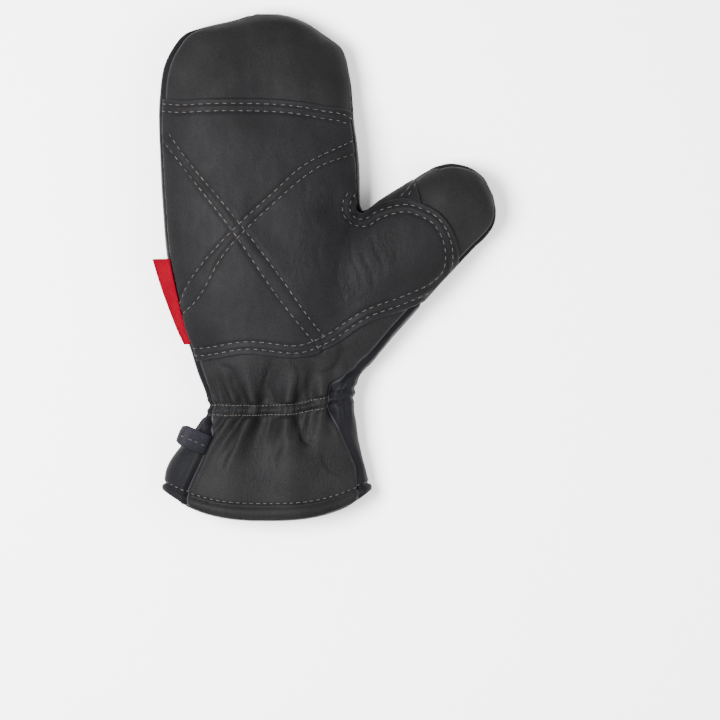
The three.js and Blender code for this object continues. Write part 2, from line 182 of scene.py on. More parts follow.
CROSSED_ROWS: Sequence[Plan] = (
    ((-0.46, 0.744), (-0.37, 0.69), (-0.17, 0.59), (0.045, 0.475), (0.24, 0.36), (0.313, 0.322)),
    ((-0.475, 0.722), (-0.353, 0.655), (-0.14, 0.54), (0.09, 0.4), (0.283, 0.299)),
    ((0.45, 0.732), (0.212, 0.681), (0.07, 0.628), (-0.18, 0.53), (-0.36, 0.44), (-0.415, 0.391)),
    ((0.45, 0.704), (0.283, 0.677), (0.055, 0.599), (-0.18, 0.5), (-0.32, 0.402), (-0.394, 0.372)),
)
GUSSET_ROWS: Sequence[Plan] = (
    ((0.672, 0.606), (0.73, 0.632), (0.784, 0.658)),
    ((0.715, 0.607), (0.74, 0.622), (0.77, 0.642)),
)


@dataclass(frozen=True)
class Pleat:
    """A soft fold of the gathered wrist: its place round the girth, width, rise, and reach above and below."""

    around: float
    wide: float
    rise: float
    up: float
    down: float
    drift: float = 0.0


PLEATS = (
    Pleat(0.05, 0.028, 1.6 * MM, 0.06, 0.09),
    Pleat(0.105, 0.026, 3.4 * MM, 0.1, 0.12, 0.05),
    Pleat(0.16, 0.028, 5.6 * MM, 0.13, 0.14, 0.05),
    Pleat(0.2, 0.014, 3.4 * MM, 0.1, 0.12, 0.12),
    Pleat(0.238, 0.028, 10.5 * MM, 0.14, 0.2, -0.2),
    Pleat(0.268, 0.009, 1.8 * MM, 0.08, 0.15, -0.05),
    Pleat(0.3, 0.027, 9.6 * MM, 0.14, 0.19, 0.03),
    Pleat(0.348, 0.024, 5.6 * MM, 0.13, 0.15, 0.08),
    Pleat(0.39, 0.018, 3.6 * MM, 0.1, 0.12, 0.05),
    Pleat(0.435, 0.024, 3.0 * MM, 0.08, 0.11, -0.1),
    Pleat(0.49, 0.03, 1.4 * MM, 0.06, 0.09),
    Pleat(0.56, 0.034, 2.0 * MM, 0.07, 0.09),
    Pleat(0.63, 0.03, 3.0 * MM, 0.09, 0.1),
    Pleat(0.7, 0.03, 3.2 * MM, 0.1, 0.11),
    Pleat(0.78, 0.03, 3.4 * MM, 0.1, 0.11),
    Pleat(0.85, 0.03, 3.0 * MM, 0.09, 0.1),
    Pleat(0.93, 0.034, 1.8 * MM, 0.06, 0.08),
)


@dataclass(frozen=True)
class Dent:
    """A soft round dent of the palm side, as shares of the hand's width, length, width and height."""

    across: float
    along: float
    reach: float
    depth: float


DENTS = (
    Dent(0.02, 0.545, 0.2, 0.035),
    Dent(0.36, 0.6, 0.16, 0.06),
    Dent(0.3, 0.33, 0.16, 0.05),
    Dent(-0.3, 0.3, 0.16, 0.04),
    Dent(0.02, 0.82, 0.22, 0.03),
)


@dataclass(frozen=True)
class Crease:
    """A line that the leather has creased along, from one place in plan to another, in shares of the hand."""

    start: tuple[float, float]
    end: tuple[float, float]
    depth: float
    width: float


CREASES = (
    Crease((0.44, 0.54), (0.5, 0.42), 0.35 * MM, 1.7 * MM),
    Crease((0.5, 0.545), (0.56, 0.41), 0.4 * MM, 1.8 * MM),
    Crease((0.56, 0.55), (0.61, 0.44), 0.3 * MM, 1.7 * MM),
    Crease((0.38, 0.5), (0.4, 0.38), 0.4 * MM, 1.9 * MM),
    Crease((0.3, 0.56), (0.28, 0.44), 0.4 * MM, 1.9 * MM),
    Crease((0.2, 0.66), (0.26, 0.53), 0.35 * MM, 1.8 * MM),
    Crease((0.24, 0.27), (0.33, 0.31), 1.2 * MM, 2.2 * MM),
    Crease((0.3, 0.23), (0.44, 0.3), 1.7 * MM, 2.8 * MM),
    Crease((0.2, 0.2), (0.16, 0.29), 1.5 * MM, 2.2 * MM),
    Crease((0.02, 0.275), (0.04, 0.19), 1.7 * MM, 2.2 * MM),
    Crease((-0.2, 0.27), (-0.11, 0.2), 1.5 * MM, 2.2 * MM),
    Crease((0.16, 0.15), (0.26, 0.085), 1.5 * MM, 2.0 * MM),
    Crease((0.28, 0.08), (0.42, 0.02), 1.1 * MM, 2.0 * MM),
    Crease((-0.12, 0.14), (-0.2, 0.03), 1.2 * MM, 2.2 * MM),
    Crease((0.1, 0.12), (0.06, 0.03), 0.9 * MM, 2.4 * MM),
)


@dataclass(frozen=True)
class Wrinkled:
    """A place where the leather has many fine wrinkles, in shares of the hand's width, length and width."""

    across: float
    along: float
    reach: float
    strength: float


WRINKLED = (
    Wrinkled(0.28, 0.6, 0.2, 0.8),
    Wrinkled(0.22, 0.48, 0.22, 0.7),
    Wrinkled(0.6, 0.5, 0.22, 1.0),
    Wrinkled(0.44, 0.42, 0.18, 0.9),
    Wrinkled(0.0, 0.24, 0.14, 1.0),
    Wrinkled(0.16, 0.25, 0.12, 0.8),
    Wrinkled(-0.24, 0.26, 0.12, 0.9),
    Wrinkled(0.21, 0.12, 0.14, 1.0),
    Wrinkled(0.3, 0.045, 0.2, 1.0),
    Wrinkled(0.0, 0.03, 0.2, 0.8),
    Wrinkled(-0.05, 0.1, 0.1, 0.9),
    Wrinkled(-0.2, 0.6, 0.24, 0.35),
    Wrinkled(0.0, 0.9, 0.3, 0.3),
)


def eased(rows: Sequence[Section], key: str, at: np.ndarray) -> np.ndarray:
    """The value of one column of a table of sections at each place along it.

    Args:
        rows: the sections, in order.
        key: the column's name.
        at: places along the table, as shares.

    Returns:
        The eased values.
    """
    x = np.array([row.at for row in rows])
    y = np.array([getattr(row, key) for row in rows])
    before = np.maximum(np.arange(len(x)) - 1, 0)
    after = np.minimum(np.arange(len(x)) + 1, len(x) - 1)
    slope = (y[after] - y[before]) / (x[after] - x[before])
    i = np.clip(np.searchsorted(x, at, side="right") - 1, 0, len(x) - 2)
    span = x[i + 1] - x[i]
    t = np.clip((at - x[i]) / span, 0, 1)
    keep = (1 + 2 * t) * (1 - t) ** 2 * y[i] + t * t * (3 - 2 * t) * y[i + 1]
    return keep + t * (1 - t) ** 2 * span * slope[i] - t * t * (1 - t) * span * slope[i + 1]


def bump(distance: np.ndarray, reach: float) -> np.ndarray:
    """A height from 1 in the middle of a bump down to 0 at its reach."""
    return 0.5 + 0.5 * np.cos(np.pi * np.minimum(np.abs(distance) / reach, 1))


def bell(distance: np.ndarray, reach: float) -> np.ndarray:
    """A height from 1 in the middle of a bell down to a third at its reach and on to nothing."""
    return np.exp(-((distance / reach) ** 2))


def signed_power(value: np.ndarray, power: float) -> np.ndarray:
    """The value's size to a power, with its sign kept."""
    return np.sign(value) * np.abs(value) ** power


def unit(vectors: np.ndarray) -> np.ndarray:
    """Vectors, one row each, at a length of one."""
    return vectors / np.maximum(np.linalg.norm(vectors, axis=1), 1e-12)[:, None]


def neighbour_total(pairs: np.ndarray, values: np.ndarray) -> np.ndarray:
    """The total of the neighbours' values at each vertex.

    Args:
        pairs: the numbers of the two vertices of each edge.
        values: one row of values for each vertex.

    Returns:
        The totals, one row for each vertex.
    """
    total = np.empty_like(values)
    for axis in range(values.shape[1]):
        total[:, axis] = np.bincount(pairs[:, 0], values[pairs[:, 1], axis], len(values))
        total[:, axis] += np.bincount(pairs[:, 1], values[pairs[:, 0], axis], len(values))
    return total


def smooth_curve(points: Plan, steps: int, closed: bool = False) -> np.ndarray:
    """A centripetal curve through points.

    Args:
        points: the points, of any number of coordinates.
        steps: points made for each stretch.
        closed: whether the last point joins the first.

    Returns:
        The curve's points, one row each.
    """
    p = np.array(points, dtype=float)
    count = len(p)
    stretches = count if closed else count - 1
    made = []
    for i in range(stretches):
        if closed:
            a, b, c, d = (p[(i + k) % count] for k in (-1, 0, 1, 2))
        else:
            b, c = p[i], p[i + 1]
            a = p[i - 1] if i > 0 else 2 * b - c
            d = p[i + 2] if i + 2 < count else 2 * c - b
        knots = np.cumsum([0.0] + [max(np.linalg.norm(v - u), 1e-9) ** 0.5 for u, v in ((a, b), (b, c), (c, d))])
        t = np.linspace(knots[1], knots[2], steps, endpoint=False)[:, None]
        ab = (a * (knots[1] - t) + b * (t - knots[0])) / (knots[1] - knots[0])
        bc = (b * (knots[2] - t) + c * (t - knots[1])) / (knots[2] - knots[1])
        cd = (c * (knots[3] - t) + d * (t - knots[2])) / (knots[3] - knots[2])
        abc = (ab * (knots[2] - t) + bc * (t - knots[0])) / (knots[2] - knots[0])
        bcd = (bc * (knots[3] - t) + cd * (t - knots[1])) / (knots[3] - knots[1])
        made.append((abc * (knots[2] - t) + bcd * (t - knots[1])) / (knots[2] - knots[1]))
    curve = np.vstack(made)
    return curve if closed else np.vstack([curve, p[-1:]])


def inside_distance(points: np.ndarray, outline: np.ndarray) -> np.ndarray:
    """How far each point lies inside a closed plan outline, negative outside it.

    Args:
        points: places in plan, one row each.
        outline: the outline's corners, one row each.

    Returns:
        The signed distances.
    """
    best = np.full(len(points), np.inf)
    inside = np.zeros(len(points), dtype=bool)
    for a, b in zip(outline, np.roll(outline, -1, axis=0)):
        edge = b - a
        t = np.clip(((points - a) @ edge) / max(edge @ edge, 1e-18), 0, 1)
        best = np.minimum(best, np.hypot(*(points - a - t[:, None] * edge).T))
        crosses = (a[1] > points[:, 1]) != (b[1] > points[:, 1])
        rise = edge[1] if edge[1] != 0 else 1e-12
        inside ^= crosses & (points[:, 0] < a[0] + (points[:, 1] - a[1]) * edge[0] / rise)
    return np.where(inside, best, -best)


@dataclass(frozen=True)
class Loft:
    """A closed soft form through a table of sections, in its own length, across and up directions."""

    sections: tuple[Section, ...]
    length: float
    width: float
    height: float
    palm_squareness: float = 2.35
    back_squareness: float = 2.9
    widest_share: float = 0.42
    seam_angle: float = math.radians(19)

    def measures(self, along: np.ndarray) -> dict[str, np.ndarray]:
        """The middle, half width, widest height and the heights above and below it, at places along the form.

        Args:
            along: the places, in metres.

        Returns:
            Each measure by its name.
        """
        at = along / self.length
        low, high = (eased(self.sections, key, at) * self.width for key in ("low", "high"))
        base, crown = (eased(self.sections, key, at) * self.height for key in ("base", "crown"))
        widest = base + self.widest_share * (crown - base)
        return {
            "middle": (low + high) / 2,
            "half": (high - low) / 2,
            "widest": widest,
            "above": crown - widest,
            "below": widest - base,
        }

    def seam_height(self, along: np.ndarray) -> np.ndarray:
        """The height of the side seam at places along the form."""
        m = self.measures(along)
        return m["widest"] + math.sin(self.seam_angle) ** (2 / self.palm_squareness) * m["above"]

    def section_points(self, along: np.ndarray, turn: np.ndarray) -> tuple[np.ndarray, np.ndarray]:
        """Across and up of the skin's points at places along the form and turns round it.

        Args:
            along: the places, in metres.
            turn: the turns, in radians.

        Returns:
            The places across and up.
        """
        m = self.measures(along)
        power = np.where(np.sin(turn) >= 0, 2 / self.palm_squareness, 2 / self.back_squareness)
        across = m["middle"] + signed_power(np.cos(turn), power) * m["half"]
        rise = np.where(np.sin(turn) >= 0, m["above"], m["below"])
        return across, np.maximum(m["widest"] + signed_power(np.sin(turn), power) * rise, 0)

    def turn_of(self, along: np.ndarray, across: np.ndarray, up: np.ndarray) -> np.ndarray:
        """The turn round the form at which a point near its skin lies.

        Args:
            along: places along the form.
            across: places across it.
            up: heights.

        Returns:
            The turns, in radians.
        """
        m = self.measures(along)
        high = up >= m["widest"]
        power = np.where(high, self.palm_squareness, self.back_squareness) / 2
        rise = np.where(high, m["above"], m["below"])
        x = signed_power((across - m["middle"]) / m["half"], power)
        z = signed_power((up - m["widest"]) / rise, power)
        return np.arctan2(z, x) % (2 * np.pi)


@dataclass(frozen=True)
class Hand(Loft):
    """The hand, wrist and cuff: +Y from the hem to the fingertips."""

    sections: tuple[Section, ...] = HAND_SECTIONS
    length: float = 292 * MM
    width: float = 122 * MM
    height: float = 46 * MM
    hem_bow: float = 18.2 * MM
    hem_fullness: float = 2.7
    hem_depth: float = 4.7 * MM
    hem_row: float = 5.8 * MM
    hem_roll: float = 1.0 * MM
    channel: float = 46 * MM
    channel_width: float = 6 * MM
    channel_pinch: float = 1.2 * MM
    channel_climb: float = 11 * MM
    hem_groove: float = 1.4 * MM
    heel_swell: float = 1.9 * MM
    heel_swell_reach: float = 26 * MM
    side_swell: float = 0.7 * MM
    side_swell_at: float = 0.84
    side_swell_reach: float = 0.1
    pucker_count: int = 66
    pucker_rise: float = 1.25 * MM
    pucker_reach: float = 4.6 * MM
    gathered_at: float = 0.31
    gathered_reach: float = 0.22

    def bow(self, along: np.ndarray, across: np.ndarray) -> np.ndarray:
        """How far the cuff's middle hangs below its sides at a place.

        Args:
            along: places along the hand.
            across: places across it.

        Returns:
            The drops, in metres.
        """
        m = self.measures(along)
        share = np.clip((across - m["middle"]) / m["half"], -1, 1)
        drop = 1 - np.abs(share) ** self.hem_fullness
        return self.hem_bow * np.maximum(1 - along / self.channel, 0) ** 2 * drop

    def points(self, along: np.ndarray, turn: np.ndarray) -> np.ndarray:
        """The skin's points at places along the hand and turns round it."""
        across, up = self.section_points(along, turn)
        return np.stack([across, along - self.bow(along, across), up], axis=-1)

    def along_of(self, points: np.ndarray) -> np.ndarray:
        """The place along the hand of each point, with the cuff's bow taken out.

        Args:
            points: points in the hand's own frame.

        Returns:
            The places along it.
        """
        along = points[:, 1].copy()
        for _ in range(4):
            m = self.measures(along)
            share = np.clip((points[:, 0] - m["middle"]) / m["half"], -1, 1)
            bow = np.maximum(self.hem_bow * (1 - np.abs(share) ** self.hem_fullness), 1e-9)
            left = np.maximum(self.channel - points[:, 1], 0)
            rest = (np.sqrt(self.channel**2 + 4 * bow * left) - self.channel) / (2 * bow)
            along = np.where(left > 0, self.channel * (1 - rest), points[:, 1])
        return along

    def channel_middle(self, turn: np.ndarray) -> np.ndarray:
        """How far along the middle of the elastic's channel lies, which climbs towards the thumb."""
        return self.channel + self.channel_width / 2 + self.channel_climb * np.maximum(np.cos(turn), 0) ** 1.5

    def plan(self, rows: Plan) -> np.ndarray:
        """Places in plan from rows of shares across and along."""
        return np.array(rows) * (self.width, self.length)

    def relief(self, along: np.ndarray, turn: np.ndarray) -> np.ndarray:
        """How far the pinched channel, rolled hem, pleats and puckers lift the skin.

        Args:
            along: places along the hand.
            turn: turns round it.

        Returns:
            The lift of each place.
        """
        middle = self.channel_middle(turn)
        off = np.abs(along - middle)
        lift = -bump(off - self.channel_width / 2, self.channel_width * 0.5) * self.channel_pinch
        lift += self.hem_roll * bump(along - self.hem_depth * 0.45, self.hem_depth * 0.6)
        lift -= self.hem_roll * 1.1 * bump(along - self.hem_depth, self.hem_groove)
        around = turn / (2 * np.pi)
        reach_out = np.minimum(off / self.channel_width, 1)
        thumb_side = np.maximum(np.cos(turn), 0) ** 2
        lift += self.heel_swell * thumb_side * bell(along - middle, self.heel_swell_reach)
        swell_off = along - self.side_swell_at * self.length
        lift += self.side_swell * thumb_side * bump(swell_off, self.side_swell_reach * self.length)
        for pleat in PLEATS:
            upward = along > middle
            reach = np.where(upward, pleat.up, pleat.down) * self.length
            place = pleat.around + pleat.drift * np.maximum(off - self.channel_width / 2, 0) / self.length
            gap = np.abs(around - place)
            gap = np.minimum(gap, 1 - gap)
            widened = pleat.wide * (1 + 0.9 * off / (0.1 * self.length))
            ridge = bell(gap, 0.55 * widened) - 0.55 * bell(gap, 1.25 * widened)
            lift += pleat.rise * bump(off, reach) * (0.25 + 0.75 * reach_out) * ridge
        puckers = np.abs(np.sin(np.pi * around * self.pucker_count + 1.7 * np.sin(2 * np.pi * around * 5)))
        gathered = np.clip((self.gathered_reach - np.abs(around - self.gathered_at)) / 0.03, 0, 1)
        lift += self.pucker_rise * (puckers**0.7 - 0.62) * bell(off**2, self.pucker_reach**2) * gathered
        return lift

    def dents(self, points: np.ndarray) -> np.ndarray:
        """How far the round dents lower the palm side at each point.

        Args:
            points: points in the hand's own frame.

        Returns:
            The depths, in metres.
        """
        total = np.zeros(len(points))
        for dent in DENTS:
            off = np.hypot(points[:, 0] - dent.across * self.width, points[:, 1] - dent.along * self.length)
            total += dent.depth * self.height * bump(off, dent.reach * self.width)
        return total


@dataclass(frozen=True)
class Thumb(Loft):
    """The thumb, turned away from the hand in plan: its own along runs out of the palm."""

    sections: tuple[Section, ...] = THUMB_SECTIONS
    length: float = 118 * MM
    width: float = 58 * MM
    height: float = 40 * MM
    turn: float = math.radians(32)
    root: tuple[float, float] = (42 * MM, 117 * MM)
    join: float = 46 * MM
    join_reach: float = 0.62

    def directions(self) -> np.ndarray:
        """The thumb's along and across directions in plan, one row each."""
        c, s = math.cos(self.turn), math.sin(self.turn)
        return np.array([[c, s], [-s, c]])

    def to_plan(self, along: np.ndarray, across: np.ndarray) -> np.ndarray:
        """Places in plan of places in the thumb's own directions."""
        return np.stack([along, across], axis=-1) @ self.directions() + self.root

    def from_plan(self, plan: np.ndarray) -> np.ndarray:
        """Places in the thumb's own directions of places in plan."""
        return (plan - self.root) @ self.directions().T

    def points(self, along: np.ndarray, turn: np.ndarray) -> np.ndarray:
        """The skin's points at places along the thumb and turns round it."""
        across, up = self.section_points(along, turn)
        return np.concatenate([self.to_plan(along, across), up[..., None]], axis=-1)

    def region(self, points: np.ndarray) -> np.ndarray:
        """How far each point lies on the thumb's side of the seam that joins it to the hand.

        Args:
            points: points in the hand's own frame.

        Returns:
            The distances, below nought on the hand's side.
        """
        own = self.from_plan(points[:, :2])
        start = np.array([self.join, self.width * self.join_reach])
        end = np.array([self.length + 60 * MM, 120 * MM])
        edge = (end - start) / np.linalg.norm(end - start)
        below = edge[1] * (own[:, 0] - start[0]) - edge[0] * (own[:, 1] - start[1])
        return np.minimum(own[:, 0] - self.join, below)


def placed(name: str, data: bpy.types.ID) -> bpy.types.Object:
    """A new object in the scene, at the origin.

    Args:
        name: its name.
        data: its mesh, lamp or camera.

    Returns:
        The object.
    """
    made = bpy.data.objects.new(name, data)
    bpy.context.scene.collection.objects.link(made)
    return made


@dataclass
class Surface:
    """A triangle mesh as arrays, with named values at its vertices."""

    verts: np.ndarray
    tris: np.ndarray
    values: dict[str, np.ndarray] = field(default_factory=dict)
    rim_rounds: int = 4

    @classmethod
    def from_mesh(cls, mesh: bpy.types.Mesh) -> "Surface":
        """The triangles of a Blender mesh.

        Args:
            mesh: the mesh.

        Returns:
            The surface.
        """
        mesh.calc_loop_triangles()
        verts = np.empty(len(mesh.vertices) * 3)
        mesh.vertices.foreach_get("co", verts)
        tris = np.empty(len(mesh.loop_triangles) * 3, dtype=np.int64)
        mesh.loop_triangles.foreach_get("vertices", tris)
        return cls(verts.reshape(-1, 3), tris.reshape(-1, 3))

    def normals(self) -> np.ndarray:
        """The vertices' normals, weighted by their triangles' areas.

        Returns:
            One normal a row.
        """
        a, b, c = (self.verts[self.tris[:, i]] for i in range(3))
        face = np.cross(b - a, c - a)
        total = np.zeros_like(self.verts)
        for i in range(3):
            for axis in range(3):
                total[:, axis] += np.bincount(self.tris[:, i], face[:, axis], len(self.verts))
        return unit(total)

    def edges(self) -> tuple[np.ndarray, np.ndarray]:
        """The edges without repeats, and how many triangles each has."""
        pairs = np.vstack([self.tris[:, [0, 1]], self.tris[:, [1, 2]], self.tris[:, [2, 0]]])
        return np.unique(np.sort(pairs, axis=1), axis=0, return_counts=True)

    def even_normals(self, rounds: int = 5) -> np.ndarray:
        """The normals, evened out with their neighbours', so that a sliver at an edge doesn't turn one aside.

        Args:
            rounds: how often they are evened out.

        Returns:
            One normal a row.
        """
        normal = self.normals()
        pairs, _ = self.edges()
        for _ in range(rounds):
            normal = unit(normal + neighbour_total(pairs, normal))
        return normal

    def smooth(self, rounds: int, weight: Optional[np.ndarray] = None, keep_size: bool = False) -> None:
        """Draws each vertex towards the middle of its neighbours.

        Args:
            rounds: how often.
            weight: how strongly at each vertex, from 0 to 1, or half everywhere.
            keep_size: whether each second round pushes back, so that the form doesn't shrink.
        """
        pairs, _ = self.edges()
        count = len(self.verts)
        degree = np.bincount(pairs.ravel(), minlength=count)
        pull = np.full(count, 0.5) if weight is None else weight
        for turn in range(rounds):
            middle = neighbour_total(pairs, self.verts) / np.maximum(degree, 1)[:, None]
            back = -1.06 if keep_size and turn % 2 else 1.0
            self.verts = self.verts + (middle - self.verts) * pull[:, None] * back

    def cut(self, key: str, level: float, snap: float = 0.22) -> None:
        """Splits the triangles along the line where a named value has a level.

        Args:
            key: the value's name.
            level: the level.
            snap: a vertex nearer to the line than this share of an edge is moved onto it instead.
        """
        value = self.values[key] - level
        pairs, _ = self.edges()
        i, j = pairs[:, 0], pairs[:, 1]
        crossing = value[i] * value[j] < 0
        i, j = i[crossing], j[crossing]
        t = value[i] / (value[i] - value[j])
        for near, far, share in ((i, j, t), (j, i, 1 - t)):
            close = share < snap
            first, pick = np.unique(near[close], return_index=True)
            other, part = far[close][pick], share[close][pick]
            free = value[first] * value[other] < 0
            first, other, part = first[free], other[free], part[free]
            self.verts[first] += (self.verts[other] - self.verts[first]) * part[:, None]
            for name, column in self.values.items():
                column[first] += (column[other] - column[first]) * part
            value[first] = 0
            self.values[key][first] = level
        crossing = value[pairs[:, 0]] * value[pairs[:, 1]] < 0
        i, j = pairs[crossing, 0], pairs[crossing, 1]
        t = value[i] / (value[i] - value[j])
        start = len(self.verts)
        self.verts = np.vstack([self.verts, self.verts[i] + (self.verts[j] - self.verts[i]) * t[:, None]])
        for name, column in self.values.items():
            self.values[name] = np.concatenate([column, column[i] + (column[j] - column[i]) * t])
        self.values[key][start:] = level
        value = np.concatenate([value, np.zeros(len(i))])
        made = np.full(len(pairs), -1, dtype=np.int64)
        made[crossing] = start + np.arange(len(i))
        keys = pairs[:, 0] * len(value) + pairs[:, 1]
        sides = [np.sort(self.tris[:, [k, (k + 1) % 3]], axis=1) for k in range(3)]
        split = np.stack([made[np.searchsorted(keys, s[:, 0] * len(value) + s[:, 1])] for s in sides], axis=1)
        count = (split >= 0).sum(axis=1)
        kept = [self.tris[count == 0]]
        for k in range(3):
            one = (count == 1) & (split[:, k] >= 0)
            a, b, c, p = self.tris[one, k], self.tris[one, (k + 1) % 3], self.tris[one, (k + 2) % 3], split[one, k]
            kept += [np.stack([a, p, c], axis=1), np.stack([p, b, c], axis=1)]
            two = (count == 2) & (split[:, k] < 0)
            a, b, c = self.tris[two, k], self.tris[two, (k + 1) % 3], self.tris[two, (k + 2) % 3]
            p, q = split[two, (k + 1) % 3], split[two, (k + 2) % 3]
            kept += [np.stack([a, b, p], axis=1), np.stack([a, p, q], axis=1), np.stack([q, p, c], axis=1)]
        self.tris = np.vstack(kept)

    def part(self, mask: Callable[[dict[str, np.ndarray]], np.ndarray]) -> "Surface":
        """The triangles whose middle values pass a test, as a surface of their own."""
        middles = {name: column[self.tris].mean(axis=1) for name, column in self.values.items()}
        return self.only(mask(middles)).largest()

    def only(self, kept: np.ndarray) -> "Surface":
        """Some of the triangles, with the vertices that they use.

        Args:
            kept: which triangles stay.

        Returns:
            The surface.
        """
        used, inverse = np.unique(self.tris[kept], return_inverse=True)
        values = {name: column[used] for name, column in self.values.items()}
        return Surface(self.verts[used], inverse.reshape(-1, 3), values)

    def largest(self) -> "Surface":
        """The biggest connected piece of the surface.

        Returns:
            That piece.
        """
        label = np.arange(len(self.verts))
        pairs, _ = self.edges()
        before = np.empty(0)
        while not np.array_equal(before, label):
            before = label.copy()
            low = np.minimum(label[pairs[:, 0]], label[pairs[:, 1]])
            np.minimum.at(label, pairs[:, 0], low)
            np.minimum.at(label, pairs[:, 1], low)
            label = label[label]
        best = np.bincount(label[self.tris[:, 0]], minlength=len(label)).argmax()
        return self.only(label[self.tris[:, 0]] == best)

    def rim(self) -> np.ndarray:
        """The open edges, each in the direction of its triangle.

        Returns:
            The numbers of their two vertices, one edge a row.
        """
        sides = np.vstack([self.tris[:, [0, 1]], self.tris[:, [1, 2]], self.tris[:, [2, 0]]])
        ordered = np.sort(sides, axis=1)
        _, inverse, counts = np.unique(ordered, axis=0, return_inverse=True, return_counts=True)
        return sides[counts[inverse.ravel()] == 1]

    def rim_gap(self, gap: float) -> None:
        """Draws the open edges back from their neighbours by a small gap.

        Args:
            gap: how far.
        """
        rim = np.unique(self.rim())
        on_rim = np.zeros(len(self.verts), dtype=bool)
        on_rim[rim] = True
        pairs, _ = self.edges()
        both = np.vstack([pairs, pairs[:, ::-1]])
        both = both[on_rim[both[:, 0]] & ~on_rim[both[:, 1]]]
        count = np.bincount(both[:, 0], minlength=len(self.verts))
        inward = np.zeros_like(self.verts)
        for axis in range(3):
            inward[:, axis] = np.bincount(both[:, 0], self.verts[both[:, 1], axis], len(self.verts))
        has = count > 0
        inward[has] = inward[has] / count[has, None] - self.verts[has]
        size = np.maximum(np.linalg.norm(inward, axis=1), 1e-9)
        self.verts = self.verts + inward / size[:, None] * gap * has[:, None]

    def thickened(self, wall: np.ndarray, edge_round: float = 0.35) -> "Surface":
        """The surface with a wall below it and a rounded edge.

        Args:
            wall: the wall's thickness at each vertex.
            edge_round: how far the edge bulges, as a share of the wall.

        Returns:
            The closed surface.
        """
        normal = self.even_normals()
        rim = self.rim()
        count = len(self.verts)
        inner = self.verts - normal * wall[:, None]
        on_rim = np.unique(rim)
        outward = np.zeros_like(self.verts)
        direction = self.verts[rim[:, 1]] - self.verts[rim[:, 0]]
        side = np.cross(direction, normal[rim[:, 0]])
        for k in range(2):
            np.add.at(outward, rim[:, k], side)
        for _ in range(self.rim_rounds):
            outward = outward + neighbour_total(rim, outward)
        outward = unit(outward)
        middle = self.verts - normal * wall[:, None] / 2 + outward * (wall * edge_round)[:, None]
        place = np.full(count, -1, dtype=np.int64)
        place[on_rim] = 2 * count + np.arange(len(on_rim))
        a, b = rim[:, 0], rim[:, 1]
        am, bm = place[a], place[b]
        ai, bi = a + count, b + count
        bands = [np.stack(t, axis=1) for t in ((b, a, am), (b, am, bm), (bm, am, ai), (bm, ai, bi))]
        tris = np.vstack([self.tris, self.tris[:, ::-1] + count, *bands])
        values = {k: np.concatenate([v, v, v[on_rim]]) for k, v in self.values.items()}
        return Surface(np.vstack([self.verts, inner, middle[on_rim]]), tris, values)

    def tree(self) -> BVHTree:
        """A search tree over the triangles."""
        return BVHTree.FromPolygons(self.verts.tolist(), self.tris.tolist())

    def piece(self, name: str, keys: Sequence[str] = ()) -> bpy.types.Object:
        """A smooth-shaded Blender object of the surface.

        Args:
            name: the object's name.
            keys: named values to keep as attributes for its material.

        Returns:
            The object.
        """
        mesh = bpy.data.meshes.new(name)
        mesh.from_pydata(self.verts.tolist(), [], self.tris.tolist())
        mesh.shade_smooth()
        for key in keys:
            layer = mesh.attributes.new(key, "FLOAT", "POINT")
            layer.data.foreach_set("value", self.values[key].astype(np.float32))
        mesh.validate()
        return placed(name, mesh)


def ring_surface(rings: np.ndarray) -> tuple[list, list]:
    """Vertices and faces of a closed loft.

    Args:
        rings: points by ring, place in the ring and axis.

    Returns:
        The vertices and the faces, with both ends capped.
    """
    count, around = rings.shape[:2]
    index = np.arange(count * around).reshape(count, around)
    a, b = index[:-1], index[1:]
    quads = np.stack([a, np.roll(a, -1, 1), np.roll(b, -1, 1), b], axis=-1).reshape(-1, 4)
    faces = quads.tolist() + [index[0][::-1].tolist(), index[-1].tolist()]
    return rings.reshape(-1, 3).tolist(), faces


def lofted(name: str, rings: np.ndarray) -> Surface:
    """A closed loft through rings as a surface, with its faces outward.

    Args:
        name: the name of the mesh that it is made through.
        rings: points by ring, place in the ring and axis.

    Returns:
        The surface, with every leather value at nought.
    """
    verts, faces = ring_surface(rings)
    mesh = bpy.data.meshes.new(name)
    mesh.from_pydata(verts, [], faces)
    surface = Surface.from_mesh(mesh)
    bpy.data.meshes.remove(mesh)
    surface.values = {key: np.zeros(len(surface.verts)) for key in LEATHER_VALUES}
    a, b, c = (surface.verts[surface.tris[:, i]] for i in range(3))
    if np.einsum("ij,ij->", a, np.cross(b, c)) < 0:
        surface.tris = surface.tris[:, ::-1]
    return surface


